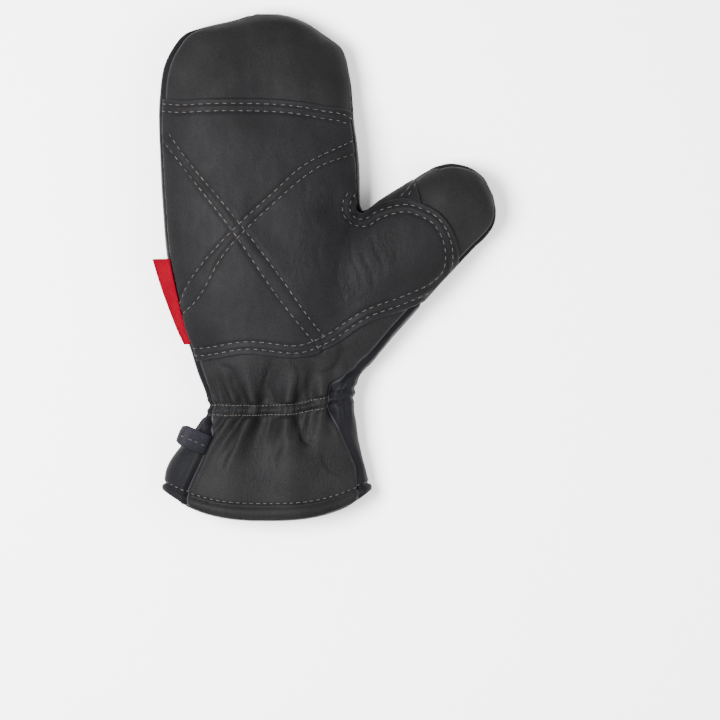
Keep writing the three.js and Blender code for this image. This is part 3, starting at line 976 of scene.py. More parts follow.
class Skin:
    """The whole soft form: hand and thumb fused, with its relief, seams and the values that pieces are cut by."""

    hidden_seam = 6.5 * MM
    crotch = (0.51, 0.575)
    crotch_pinch = 4.5 * MM
    crotch_reach = 13 * MM
    before_hem = 14 * MM
    first_rounds = 16
    crease_rounds = 140
    crease_voxel = 1.15 * MM
    crease_spread = 0.07
    floor_fade = 4 * MM
    fingertip_from = 0.775
    fingertip_fade = 12 * MM
    thumb_sides = (0.42, 0.84)
    thumb_fade = 6 * MM
    thumb_blend = 10 * MM
    palm_fade = 10 * MM
    hem_fade = 12 * MM
    shade_widths = (1.6 * MM, 0.4 * MM)
    seam_levels = (-1.5 * MM, -0.6 * MM, 0.0, 0.6 * MM, 1.5 * MM)
    seam_depth = 1.5 * MM
    seam_width = 1.5 * MM
    shoulder_rise = 0.35 * MM
    shoulder_off = 3.2 * MM
    shoulder_width = 1.6 * MM
    join_depth = 0.9 * MM
    join_width = 1.2 * MM
    painted_highlight_at = 0.6 * MM
    painted_highlight_width = 0.45 * MM
    blend_reach = 12 * MM
    tip_swell = 2.1 * MM
    crease_wave = 1.6 * MM
    broad_waves = (26 * MM, 0.95 * MM)
    small_waves = (7 * MM, 0.2 * MM)

    def __init__(self, hand: Hand, thumb: Thumb, shift: np.ndarray, voxel: float) -> None:
        """Fuses the hand and the thumb.

        Args:
            hand: the hand's form.
            thumb: the thumb's form.
            shift: from the hand's own frame to the object's.
            voxel: how finely the skin is divided.
        """
        self.hand = hand
        self.thumb = thumb
        self.shift = shift
        self.surface = self._fused(voxel)
        self._soften(voxel)
        self._measure()

    @staticmethod
    def frame_shift(hand: Hand, thumb: Thumb) -> np.ndarray:
        """Where the hand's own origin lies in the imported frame, from the reach of the fingertip and thumb.

        Args:
            hand: the hand's form.
            thumb: the thumb's form.

        Returns:
            The shift from the hand's own frame to the object's.
        """
        along, turn = np.meshgrid(np.linspace(0, thumb.length, 400), np.linspace(0, 2 * np.pi, 400))
        own_reach = thumb.points(along.ravel(), turn.ravel())[:, 0].max()
        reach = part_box("thumb_back")[1][0] - own_reach
        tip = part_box("palm_panel")[1][1] - hand.length
        return np.array([reach, tip, 0.0])

    def _fused(self, voxel: float) -> Surface:
        """The two lofts as one closed skin.

        Args:
            voxel: how finely it is divided.

        Returns:
            The skin.
        """
        verts, faces = [], []
        root = self.thumb.sections[0].at * self.thumb.length
        for form, start, rings, around in ((self.hand, -self.before_hem, 190, 180), (self.thumb, root, 90, 110)):
            along = np.linspace(start, form.length, rings)
            turn = np.linspace(0, 2 * np.pi, around, endpoint=False)
            grid = np.meshgrid(along, turn, indexing="ij")
            points = form.points(grid[0], grid[1])
            more_verts, more_faces = ring_surface(points)
            faces += [[i + len(verts) for i in face] for face in more_faces]
            verts += more_verts
        mesh = bpy.data.meshes.new("lofts")
        mesh.from_pydata(verts, [], faces)
        lofts = placed("lofts", mesh)
        fuse = lofts.modifiers.new("fuse", "REMESH")
        fuse.mode = "VOXEL"
        fuse.voxel_size = voxel
        fuse.adaptivity = 0
        evaluated = lofts.evaluated_get(bpy.context.evaluated_depsgraph_get())
        fused = bpy.data.meshes.new_from_object(evaluated)
        surface = Surface.from_mesh(fused)
        bpy.data.objects.remove(lofts)
        bpy.data.meshes.remove(mesh)
        bpy.data.meshes.remove(fused)
        return surface

    def _soften(self, voxel: float) -> None:
        """Smooths the voxels away, and rounds the crease where the thumb joins the palm.

        Args:
            voxel: how finely the skin is divided.
        """
        surface = self.surface
        surface.smooth(self.first_rounds, keep_size=True)
        own = self.thumb.from_plan(surface.verts[:, :2])
        near = []
        for form, along, across in (
            (self.hand, surface.verts[:, 1], surface.verts[:, 0]),
            (self.thumb, own[:, 0], own[:, 1]),
        ):
            m = form.measures(along)
            rise = np.where(surface.verts[:, 2] > m["widest"], m["above"], m["below"])
            side = np.abs((across - m["middle"]) / m["half"]) ** form.palm_squareness
            up = np.abs((surface.verts[:, 2] - m["widest"]) / rise) ** form.palm_squareness
            inside = (along > -0.12 * form.length) & (along < form.length)
            near.append(np.where(inside, np.abs(side + up - 1), 9))
        weight = np.exp(-(near[0] ** 2 + near[1] ** 2) / self.crease_spread) * 0.5
        weight *= np.clip(surface.verts[:, 2] / self.floor_fade, 0, 1)
        surface.smooth(int(self.crease_rounds * (self.crease_voxel / voxel) ** 2), weight)

    def _measure(self) -> None:
        """Names the values at the vertices that the pieces are cut by."""
        surface, hand, thumb = self.surface, self.hand, self.thumb
        points = surface.verts
        along = hand.along_of(points)
        turn = hand.turn_of(along, points[:, 0], points[:, 2])
        own = thumb.from_plan(points[:, :2])
        region = thumb.region(points)
        palm_outline = hand.plan(PALM_SEAMS)
        seam = hand.seam_height(np.clip(along, 0, hand.length))
        across = points[:, 0] - hand.measures(along)["middle"]
        lowered = np.clip((along / hand.length - self.fingertip_from) / 0.03, 0, 1)
        seam = seam - lowered * np.clip(across / self.fingertip_fade + 1, 0, 1) * self.hidden_seam
        palm_side = np.minimum(points[:, 2] - seam, inside_distance(points[:, :2], palm_outline))
        thumb_seam = thumb.seam_height(np.clip(own[:, 0], 0, thumb.length))
        reach = own[:, 0] / thumb.length
        first, last = self.thumb_sides
        beside = np.clip((reach - first) / 0.06, 0, 1) * np.clip((last - reach) / 0.05, 0, 1)
        thumb_seam = thumb_seam - beside * np.clip(own[:, 1] / self.thumb_fade, 0, 1) * self.hidden_seam
        blend = np.clip(region / self.thumb_blend + 0.5, 0, 1)
        surface.values = {
            "along": along,
            "turn": turn,
            "thumb_along": own[:, 0],
            "thumb_side": region,
            "palm_side": palm_side * (1 - blend) + (points[:, 2] - thumb_seam) * blend,
        }
        off_crotch = np.hypot(*(points[:, :2] - hand.plan([self.crotch])[0]).T)
        surface.values["palm_side"] += self.crotch_pinch * bump(off_crotch, self.crotch_reach)

    def shaped(self, seams: bool) -> Surface:
        """The skin with its relief raised, moved into the object's frame.

        Args:
            seams: whether the panels' seams are pressed in, with the skin split along them.

        Returns:
            The shaped surface.
        """
        surface = Surface(self.surface.verts.copy(), self.surface.tris.copy(), dict(self.surface.values))
        surface.values = {k: v.copy() for k, v in self.surface.values.items()}
        if seams:
            surface.cut("along", 0.0)
            surface = surface.part(lambda v: v["along"] > 0)
            for level in self.seam_levels:
                surface.cut("palm_side", level)
            for level in self.seam_levels[1:-1]:
                surface.cut("thumb_side", level)
            surface.cut("along", self.hand.hem_depth)
        lift, surface.values["shade"] = self._lift(surface, seams)
        surface.values["wrinkle"] = self.wrinkled(surface.verts)
        # The edge value is a painted highlight along the palm panels' cut edges.
        edge = bell(surface.values["palm_side"] - self.painted_highlight_at, self.painted_highlight_width)
        surface.values["edge"] = edge * float(seams)
        surface.verts = surface.verts + surface.normals() * lift[:, None]
        surface.verts[:, 2] = np.maximum(surface.verts[:, 2], 0)
        surface.verts = surface.verts + self.shift
        return surface

    def _lift(self, surface: Surface, seams: bool) -> tuple[np.ndarray, np.ndarray]:
        """How far the relief moves each vertex along its normal, and how much painted shade darkens the seam
        grooves.

        Args:
            surface: the surface in the hand's own frame.
            seams: whether the panels' seams are pressed in.

        Returns:
            The lift and the shade of each vertex.
        """
        points, values = surface.verts, surface.values
        hand = self.hand
        on_hand = np.clip(1 - values["thumb_side"] / self.blend_reach, 0, 1)
        lift = hand.relief(values["along"], values["turn"]) * on_hand
        own = self.thumb.from_plan(points[:, :2]) / self.thumb.length
        swell = np.clip((own[:, 0] - 0.7) / 0.2, 0, 1) * (0.5 + np.clip(own[:, 1] * 4, -0.5, 0.5))
        lift += self.tip_swell * swell * np.clip(values["thumb_side"] / self.blend_reach, 0, 1)
        palm = np.clip(values["palm_side"] / self.palm_fade, 0, 1)
        lift -= hand.dents(points) * palm
        for crease in CREASES:
            start, end = hand.plan([crease.start])[0], hand.plan([crease.end])[0]
            edge = end - start
            t = ((points[:, :2] - start) @ edge) / (edge @ edge)
            wave = self.crease_wave * np.sin(7 * t + 40 * start[0])
            side = np.stack([-edge[1], edge[0]]) / np.linalg.norm(edge)
            off = (points[:, :2] - start) @ side - wave
            ends = np.clip(np.minimum(t, 1 - t) * 4, 0, 1)
            ends = ends * ends * (3 - 2 * ends)
            groove = bell(off, crease.width) - 0.45 * bell(off, 2.6 * crease.width)
            lift -= crease.depth * ends * groove * palm
        lift += self._noise(points) * np.clip(values["along"] / self.hem_fade, 0.3, 1)
        shade = np.zeros(len(points))
        if seams:
            groove = bell(values["palm_side"], self.seam_width)
            shoulder = bell(np.abs(values["palm_side"]) - self.shoulder_off, self.shoulder_width)
            lift += shoulder * self.shoulder_rise - groove * self.seam_depth
            join = bell(values["thumb_side"], self.join_width)
            lift -= join * self.join_depth
            # The shade is painted shade, darkest in the groove behind each palm panel's edge and along the thumb's
            # join.
            behind, ahead = np.minimum(values["palm_side"], 0), np.maximum(values["palm_side"], 0)
            shade = np.maximum(bell(behind, self.shade_widths[0]) * bell(ahead, self.shade_widths[1]), join)
        return lift, shade

    def wrinkled(self, points: np.ndarray) -> np.ndarray:
        """How finely wrinkled the leather is at each point, in the hand's own frame.

        Args:
            points: the points.

        Returns:
            From 0 for smooth up to 1.
        """
        total = np.zeros(len(points))
        for place in WRINKLED:
            middle = np.array([place.across * self.hand.width, place.along * self.hand.length])
            off = np.hypot(*(points[:, :2] - middle).T)
            total += place.strength * bump(off, place.reach * self.hand.width)
        return np.minimum(total, 1)

    def _noise(self, points: np.ndarray) -> np.ndarray:
        """The leather's soft unevenness and its small wrinkles.

        Args:
            points: points in the hand's own frame.

        Returns:
            The rise of each, in metres.
        """
        (broad, broad_rise), (small, small_rise) = self.broad_waves, self.small_waves
        soft = (points * (1 / broad, 0.7 / broad, 1 / broad)).tolist()
        fine = (points * (1 / small, 0.5 / small, 0.6 / small)).tolist()
        noises = [broad_rise * noise.noise(a) + small_rise * noise.noise(b) for a, b in zip(soft, fine)]
        return np.array(noises)


class Slot(Enum):
    """The record's material slots."""

    PALM = "palm_leather"
    BACK = "back_leather"
    PATCH = "patch_leather"
    LOOP = "loop_leather"
    THREAD = "seam_thread"
    TAG = "woven_tag"


def linear(code: str) -> tuple[float, float, float, float]:
    """A linear colour from an sRGB hex value."""
    parts = [int(code[i : i + 2], 16) / 255 for i in (1, 3, 5)]
    return (*(c / 12.92 if c <= 0.04045 else ((c + 0.055) / 1.055) ** 2.4 for c in parts), 1.0)


def add_node(tree: bpy.types.NodeTree, kind: str, inputs: dict, **settings: object) -> bpy.types.Node:
    """Adds a node, with its settings, values and links.

    Args:
        tree: the node tree.
        kind: the node's type.
        inputs: by input name or number, a value or an output socket to link.
        settings: the node's own properties.

    Returns:
        The node.
    """
    made = tree.nodes.new(kind)
    for name, value in settings.items():
        setattr(made, name, value)
    for key, value in inputs.items():
        socket = made.inputs[key]
        if isinstance(value, bpy.types.NodeSocket):
            tree.links.new(value, socket)
        else:
            socket.default_value = value
    return made


def ramp(
    tree: bpy.types.NodeTree, factor: bpy.types.NodeSocket, stops: Sequence[tuple[float, str]]
) -> bpy.types.NodeSocket:
    """Adds a colour ramp with stops of a place and an sRGB hex colour, and gives its colour.

    Args:
        tree: the node tree.
        factor: what is looked up.
        stops: each a place and an sRGB hex colour.

    Returns:
        The ramp's colour.
    """
    made = add_node(tree, "ShaderNodeValToRGB", {"Fac": factor})
    elements = made.color_ramp.elements
    while len(elements) < len(stops):
        elements.new(0.5)
    for element, (place, code) in zip(elements, stops):
        element.position = place
        element.color = linear(code)
    return made.outputs[0]


def calculated(tree: bpy.types.NodeTree, operation: str, *values: object) -> bpy.types.NodeSocket:
    """Adds a sum or product of values or sockets, and gives its result."""
    return add_node(tree, "ShaderNodeMath", dict(enumerate(values)), operation=operation).outputs[0]


@dataclass(frozen=True)
class Finish:
    """What the finishes share: a material whose patterns have real sizes, in the object's own coordinates."""

    name: str

    def begin(self) -> tuple[bpy.types.Material, bpy.types.NodeTree, bpy.types.NodeSocket]:
        """A new material, its empty tree and the object's own coordinates in it.

        Returns:
            The material, the tree and the coordinates' socket.
        """
        made = bpy.data.materials.new(self.name)
        made.use_nodes = True
        made.node_tree.nodes.clear()
        place = add_node(made.node_tree, "ShaderNodeTexCoord", {}).outputs["Object"]
        return made, made.node_tree, place

    @staticmethod
    def pattern(
        tree: bpy.types.NodeTree, kind: str, place: bpy.types.NodeSocket, size: float, **settings: object
    ) -> bpy.types.NodeSocket:
        """Adds a texture.

        Args:
            tree: the material's tree.
            kind: the texture's type.
            place: where it is looked up.
            size: the size of its features.
            settings: its inputs, by names with a capital, and its properties.

        Returns:
            The texture's value.
        """
        inputs = {key: value for key, value in settings.items() if key[0].isupper()}
        others = {key: value for key, value in settings.items() if not key[0].isupper()}
        made = add_node(tree, f"ShaderNodeTex{kind}", {"Vector": place, "Scale": 1 / size, **inputs}, **others)
        return made.outputs["Distance" if kind == "Voronoi" else "Fac"]

    @staticmethod
    def blended(
        tree: bpy.types.NodeTree, share: object, under: object, over: object, blend: str = "MIX"
    ) -> bpy.types.NodeSocket:
        """Adds a mix of two colours, and gives the mixed colour."""
        made = add_node(tree, "ShaderNodeMix", {0: share, 6: under, 7: over}, data_type="RGBA", blend_type=blend)
        return made.outputs[2]

    @staticmethod
    def raised(
        tree: bpy.types.NodeTree,
        height: bpy.types.NodeSocket,
        distance: float,
        strength: object,
        under: Optional[bpy.types.NodeSocket] = None,
    ) -> bpy.types.NodeSocket:
        """Adds a bump, on top of another where that is given, and gives the normal.

        Args:
            tree: the material's tree.
            height: the pattern that it is raised by.
            distance: its height, in metres.
            strength: how much of it shows.
            under: the normal of the bump below it.

        Returns:
            The normal.
        """
        inputs = {"Height": height, "Distance": distance, "Strength": strength}
        if under is not None:
            inputs["Normal"] = under
        return add_node(tree, "ShaderNodeBump", inputs).outputs[0]

    @staticmethod
    def end(tree: bpy.types.NodeTree, inputs: dict) -> None:
        """Adds the shader that the rest leads to."""
        shader = add_node(tree, "ShaderNodeBsdfPrincipled", inputs)
        add_node(tree, "ShaderNodeOutputMaterial", {"Surface": shader.outputs[0]})


@dataclass(frozen=True)
class FullGrainLeather(Finish):
    """Full-grain deerskin, drum-dyed charcoal black and left matte.

    The fine pebbled grain breaks the light into a soft broad sheen and the dye sits unevenly. Painted shade
    darkens the seam grooves and stitch channels, and a painted highlight lightens and greys the cut edges.
    """

    dark: str = "#101011"
    light: str = "#191819"
    painted_shade_colour: str = "#060608"
    painted_highlight_colour: str = "#3c3c40"
    cloud: float = 28 * MM
    grain: float = 0.9 * MM
    grain_height: float = 0.07 * MM
    pore: float = 0.6 * MM
    pore_height: float = 0.05 * MM
    wrinkle: float = 5.0 * MM
    wrinkle_height: float = 0.22 * MM
    line: float = 2.4 * MM
    line_height: float = 0.75 * MM
    roughness: float = 0.58

    def material(self) -> bpy.types.Material:
        """The leather's material.

        Returns:
            The material.
        """
        made, tree, place = self.begin()
        cells = self.pattern(tree, "Voronoi", place, self.grain, Randomness=1.0, feature="SMOOTH_F1")
        soft = self.pattern(tree, "Noise", place, self.cloud, Detail=5.0)
        fine = self.pattern(tree, "Noise", place, self.pore, Detail=3.0)
        stretched, drawn = (
            add_node(tree, "ShaderNodeMapping", {"Vector": place, "Scale": (1.0, along, 0.6)}).outputs[0]
            for along in (0.45, 0.35)
        )
        folds = self.pattern(tree, "Noise", stretched, self.wrinkle, Detail=4.0, Distortion=0.6)
        lines = self.pattern(tree, "Noise", drawn, self.line, Detail=2.0, Distortion=1.2)
        shade, wrinkled, edge = (
            add_node(tree, "ShaderNodeAttribute", {}, attribute_name=key).outputs["Fac"] for key in LEATHER_VALUES
        )
        dye = ramp(tree, soft, ((0.3, self.dark), (0.7, self.light)))
        specks = ramp(tree, fine, ((0.35, "#b8b8b8"), (0.7, "#ffffff")))
        colour = self.blended(tree, 1.0, dye, specks, "MULTIPLY")
        # Painted shade: the shade value darkens the colour in the seam grooves and stitch channels.
        colour = self.blended(tree, shade, colour, linear(self.painted_shade_colour))
        # Painted highlight: the edge value, broken up by the cloud noise, lightens the colour along the cut edges.
        colour = self.blended(tree, calculated(tree, "MULTIPLY", edge, soft), colour, linear(self.painted_highlight_colour))
        rough = add_node(
            tree,
            "ShaderNodeMapRange",
            {"Value": folds, "To Min": self.roughness - 0.06, "To Max": self.roughness + 0.1},
        )
        normal = None
        for height, distance, strength in (
            (cells, self.grain_height, 0.8),
            (fine, self.pore_height, 0.6),
            (folds, self.wrinkle_height, 0.7),
            (lines, self.line_height, wrinkled),
        ):
            normal = self.raised(tree, height, distance, strength, normal)
        gloss = {"IOR": 1.5, "Specular IOR Level": 0.055}
        self.end(tree, {"Base Color": colour, "Roughness": rough.outputs[0], "Normal": normal, **gloss})
        return made


@dataclass(frozen=True)
class BondedThread(Finish):
    """Bonded nylon sewing thread in taupe: two plies twisted together, with a faint waxy gloss."""

    name: str = "bonded_nylon_thread"
    dark: str = "#2b2726"
    light: str = "#504a46"
    twist: float = 3.0 * MM
    twist_height: float = 0.1 * MM

    def material(self) -> bpy.types.Material:
        """The thread's material.

        Returns:
            The material.
        """
        made, tree, place = self.begin()
        plies = self.pattern(tree, "Wave", place, self.twist, Distortion=1.5, bands_direction="DIAGONAL")
        tone = ramp(tree, plies, ((0.1, self.dark), (0.9, self.light)))
        normal = self.raised(tree, plies, self.twist_height, 0.8)
        gloss = {"Roughness": 0.6, "IOR": 1.53, "Specular IOR Level": 0.2}
        self.end(tree, {"Base Color": tone, "Normal": normal, **gloss})
        return made


@dataclass(frozen=True)
class NeedleHole(Finish):
    """The shadow in a needle's hole beside a stitch: nearly black, with no gloss."""

    name: str = "needle_hole_shadow"
    dark: str = "#0a090b"
    light: str = "#151316"
    grit: float = 0.8 * MM

    def material(self) -> bpy.types.Material:
        """The hole's material.

        Returns:
            The material.
        """
        made, tree, place = self.begin()
        tone = ramp(tree, self.pattern(tree, "Noise", place, self.grit), ((0.3, self.dark), (0.8, self.light)))
        self.end(tree, {"Base Color": tone, "Roughness": 0.9, "Specular IOR Level": 0.05})
        return made


@dataclass(frozen=True)
class WovenTag(Finish):
    """A woven polyester satin tag in red: fine ribs of weft across a satin ground, with a soft sheen.

    The real threads are about 0.2 mm apart. They are drawn at 0.5 mm, which is as coarse as they need to show.
    """

    name: str = "woven_red_satin"
    dark: str = "#4e020e"
    light: str = "#740316"
    rib: float = 0.5 * MM
    rib_height: float = 0.12 * MM
    cloud: float = 9 * MM

    def material(self) -> bpy.types.Material:
        """The tag's material.

        Returns:
            The material.
        """
        made, tree, place = self.begin()
        weft, warp = (self.pattern(tree, "Wave", place, 2 * self.rib, bands_direction=way) for way in "YZ")
        weave = calculated(tree, "MULTIPLY_ADD", weft, warp, 0.15)
        wear = self.pattern(tree, "Noise", place, self.cloud, Detail=4.0)
        tone = ramp(tree, calculated(tree, "MULTIPLY", weave, wear), ((0.0, self.dark), (0.55, self.light)))
        normal = self.raised(tree, weave, self.rib_height, 0.8)
        self.end(tree, {"Base Color": tone, "Roughness": 0.62, "Specular IOR Level": 0.0, "Normal": normal})
        return made


def finish_piece(made: bpy.types.Object, material: bpy.types.Material, slot: Slot, *nodes: str) -> None:
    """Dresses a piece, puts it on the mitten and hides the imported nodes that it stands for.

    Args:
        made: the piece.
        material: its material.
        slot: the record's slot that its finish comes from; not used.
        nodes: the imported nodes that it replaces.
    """
    made.data.materials.clear()
    made.data.materials.append(material)
    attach(made, BODY)
    if nodes:
        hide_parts(*nodes)
    log.info("%s: %d faces", made.name, len(made.data.polygons))


@dataclass
class Panels:
    """The four leather panels that the mitten's shell is sewn from."""

    skin: Skin
    wall: float = 1.8 * MM
    hem_wall: float = 3.9 * MM
    gap: float = 0.12 * MM

    def build(self) -> Surface:
        """Cuts the shaped skin into its panels and dresses them.

        Returns:
            The whole shaped skin, for what is sewn onto it.
        """
        whole = self.skin.shaped(seams=True)
        palm = FullGrainLeather("full_grain_leather_palm").material()
        # The back panels' leather is a darker copy of the palm leather: painted shade for their steep flanks.
        back = FullGrainLeather("full_grain_leather_back", dark="#0b0b0e", light="#111114").material()
        parts = {
            "palm_panel": (palm, Slot.PALM, lambda v: (v["thumb_side"] < 0) & (v["palm_side"] > 0)),
            "back_panel": (back, Slot.BACK, lambda v: (v["thumb_side"] < 0) & (v["palm_side"] < 0)),
            "thumb_front": (palm, Slot.PALM, lambda v: (v["thumb_side"] > 0) & (v["palm_side"] > 0)),
            "thumb_back": (back, Slot.BACK, lambda v: (v["thumb_side"] > 0) & (v["palm_side"] < 0)),
        }
        for name, (material, slot, mask) in parts.items():
            panel = whole.part(mask)
            panel.rim_gap(self.gap)
            folded = panel.values["along"] < self.skin.hand.hem_depth
            wall = np.where(folded & (panel.values["thumb_side"] < 0), self.hem_wall, self.wall)
            shell = panel.thickened(wall)
            finish_piece(shell.piece(f"{name}_leather", LEATHER_VALUES), material, slot, name)
        return whole


@dataclass
class Overlay:
    """A second layer of leather sewn on top of the skin, with a rounded cut edge and pressed stitch channels."""

    name: str
    node: str
    skin: Surface
    outline: np.ndarray
    rows: list[np.ndarray]
    thickness: float = 1.5 * MM
    gap: float = 0.3 * MM
    edge_levels: tuple[float, ...] = (0.35 * MM, 0.9 * MM, 1.8 * MM)
    seam_gap: float = 0.7 * MM
    edge_reach: float = 1.6 * MM
    channel_width: float = 1.5 * MM
    channel_depth: float = 0.55 * MM
    quilting: float = 0.25 * MM
    quilting_reach: float = 9 * MM
    thin_edge: float = 0.45
    channel_shade: float = 0.3
    painted_highlight_strength: float = 0.15
    painted_highlight_at: float = 0.5 * MM
    painted_highlight_width: float = 0.4 * MM
    outer_margin: float = 3 * MM
    seam_margin: float = 1.5 * MM

    def build(self, material: bpy.types.Material, slot: Slot) -> Surface:
        """Cuts the layer out and dresses it.

        Args:
            material: its leather.
            slot: the record's slot of its finish.

        Returns:
            The layer's top surface.
        """
        cloth = self.skin
        cloth.values["inside"] = inside_distance(cloth.verts[:, :2], self.outline)
        cloth = cloth.part(lambda v: (v["inside"] > -self.outer_margin) & (v["palm_side"] > -self.seam_margin))
        cloth.cut("inside", 0.0)
        cloth.cut("palm_side", self.seam_gap)
        cloth = cloth.part(lambda v: (v["inside"] > 0) & (v["palm_side"] > self.seam_gap))
        for level in self.edge_levels:
            cloth.cut("inside", level)
        inside = np.minimum(cloth.values["inside"], cloth.values["palm_side"] - self.seam_gap)
        share = np.clip(inside / self.edge_reach, 0, 1)
        rounded = self.thickness * (self.thin_edge + (1 - self.thin_edge) * np.sqrt(1 - (1 - share) ** 2))
        channel = np.zeros(len(cloth.verts))
        for row in self.rows:
            off = row_distance(cloth.verts[:, :2], row)
            channel = np.maximum(channel, bell(off, self.channel_width))
        quilt = self.quilting * (1 - np.clip(inside / self.quilting_reach, 0, 1))
        lift = self.gap + rounded - channel * self.channel_depth + quilt
        # Painted shade darkens the stitch channels, and a faint painted highlight lightens the layer's cut edge.
        cloth.values["shade"] = channel * self.channel_shade
        cloth.values["edge"] = self.painted_highlight_strength * bell(inside - self.painted_highlight_at, self.painted_highlight_width)
        cloth.verts = cloth.verts + cloth.normals() * lift[:, None]
        wall = np.full(len(cloth.verts), self.thickness) * (self.thin_edge + (1 - self.thin_edge) * share)
        shell = cloth.thickened(wall, 0.25)
        finish_piece(shell.piece(self.name, LEATHER_VALUES), material, slot, self.node)
        return cloth


def row_distance(points: np.ndarray, row: np.ndarray) -> np.ndarray:
    """How far each place in plan lies from an open line.

    Args:
        points: the places.
        row: the line's points.

    Returns:
        The distances.
    """
    best = np.full(len(points), np.inf)
    low, high = row.min(axis=0) - 6 * MM, row.max(axis=0) + 6 * MM
    near = ((points > low) & (points < high)).all(axis=1)
    p = points[near]
    found = np.full(len(p), np.inf)
    for a, b in zip(row[:-1], row[1:]):
        edge = b - a
        t = np.clip(((p - a) @ edge) / max(edge @ edge, 1e-18), 0, 1)
        found = np.minimum(found, np.hypot(*(p - a - t[:, None] * edge).T))
    best[near] = found
    return best


def inset_line(outline: np.ndarray, first: int, last: int, inset: float) -> np.ndarray:
    """A stretch of a clockwise outline, moved inwards.

    Args:
        outline: the outline's points.
        first: the first point's number.
        last: the last point's number.
        inset: how far inwards.

    Returns:
        The moved stretch, without the points that would fold back.
    """
    ahead = np.roll(outline, -1, axis=0) - np.roll(outline, 1, axis=0)
    inward = np.stack([ahead[:, 1], -ahead[:, 0]], axis=1)
    inward /= np.linalg.norm(inward, axis=1)[:, None]
    index = np.arange(first, last + 1) % len(outline)
    moved = outline[index] + inward[index] * inset
    depth = inside_distance(moved, outline)
    return moved[depth > inset * 0.93]


class Stitch(Enum):
    """What the stitch tree sets on each place of a row."""

    THREAD = "thread"
    HOLES = "holes"


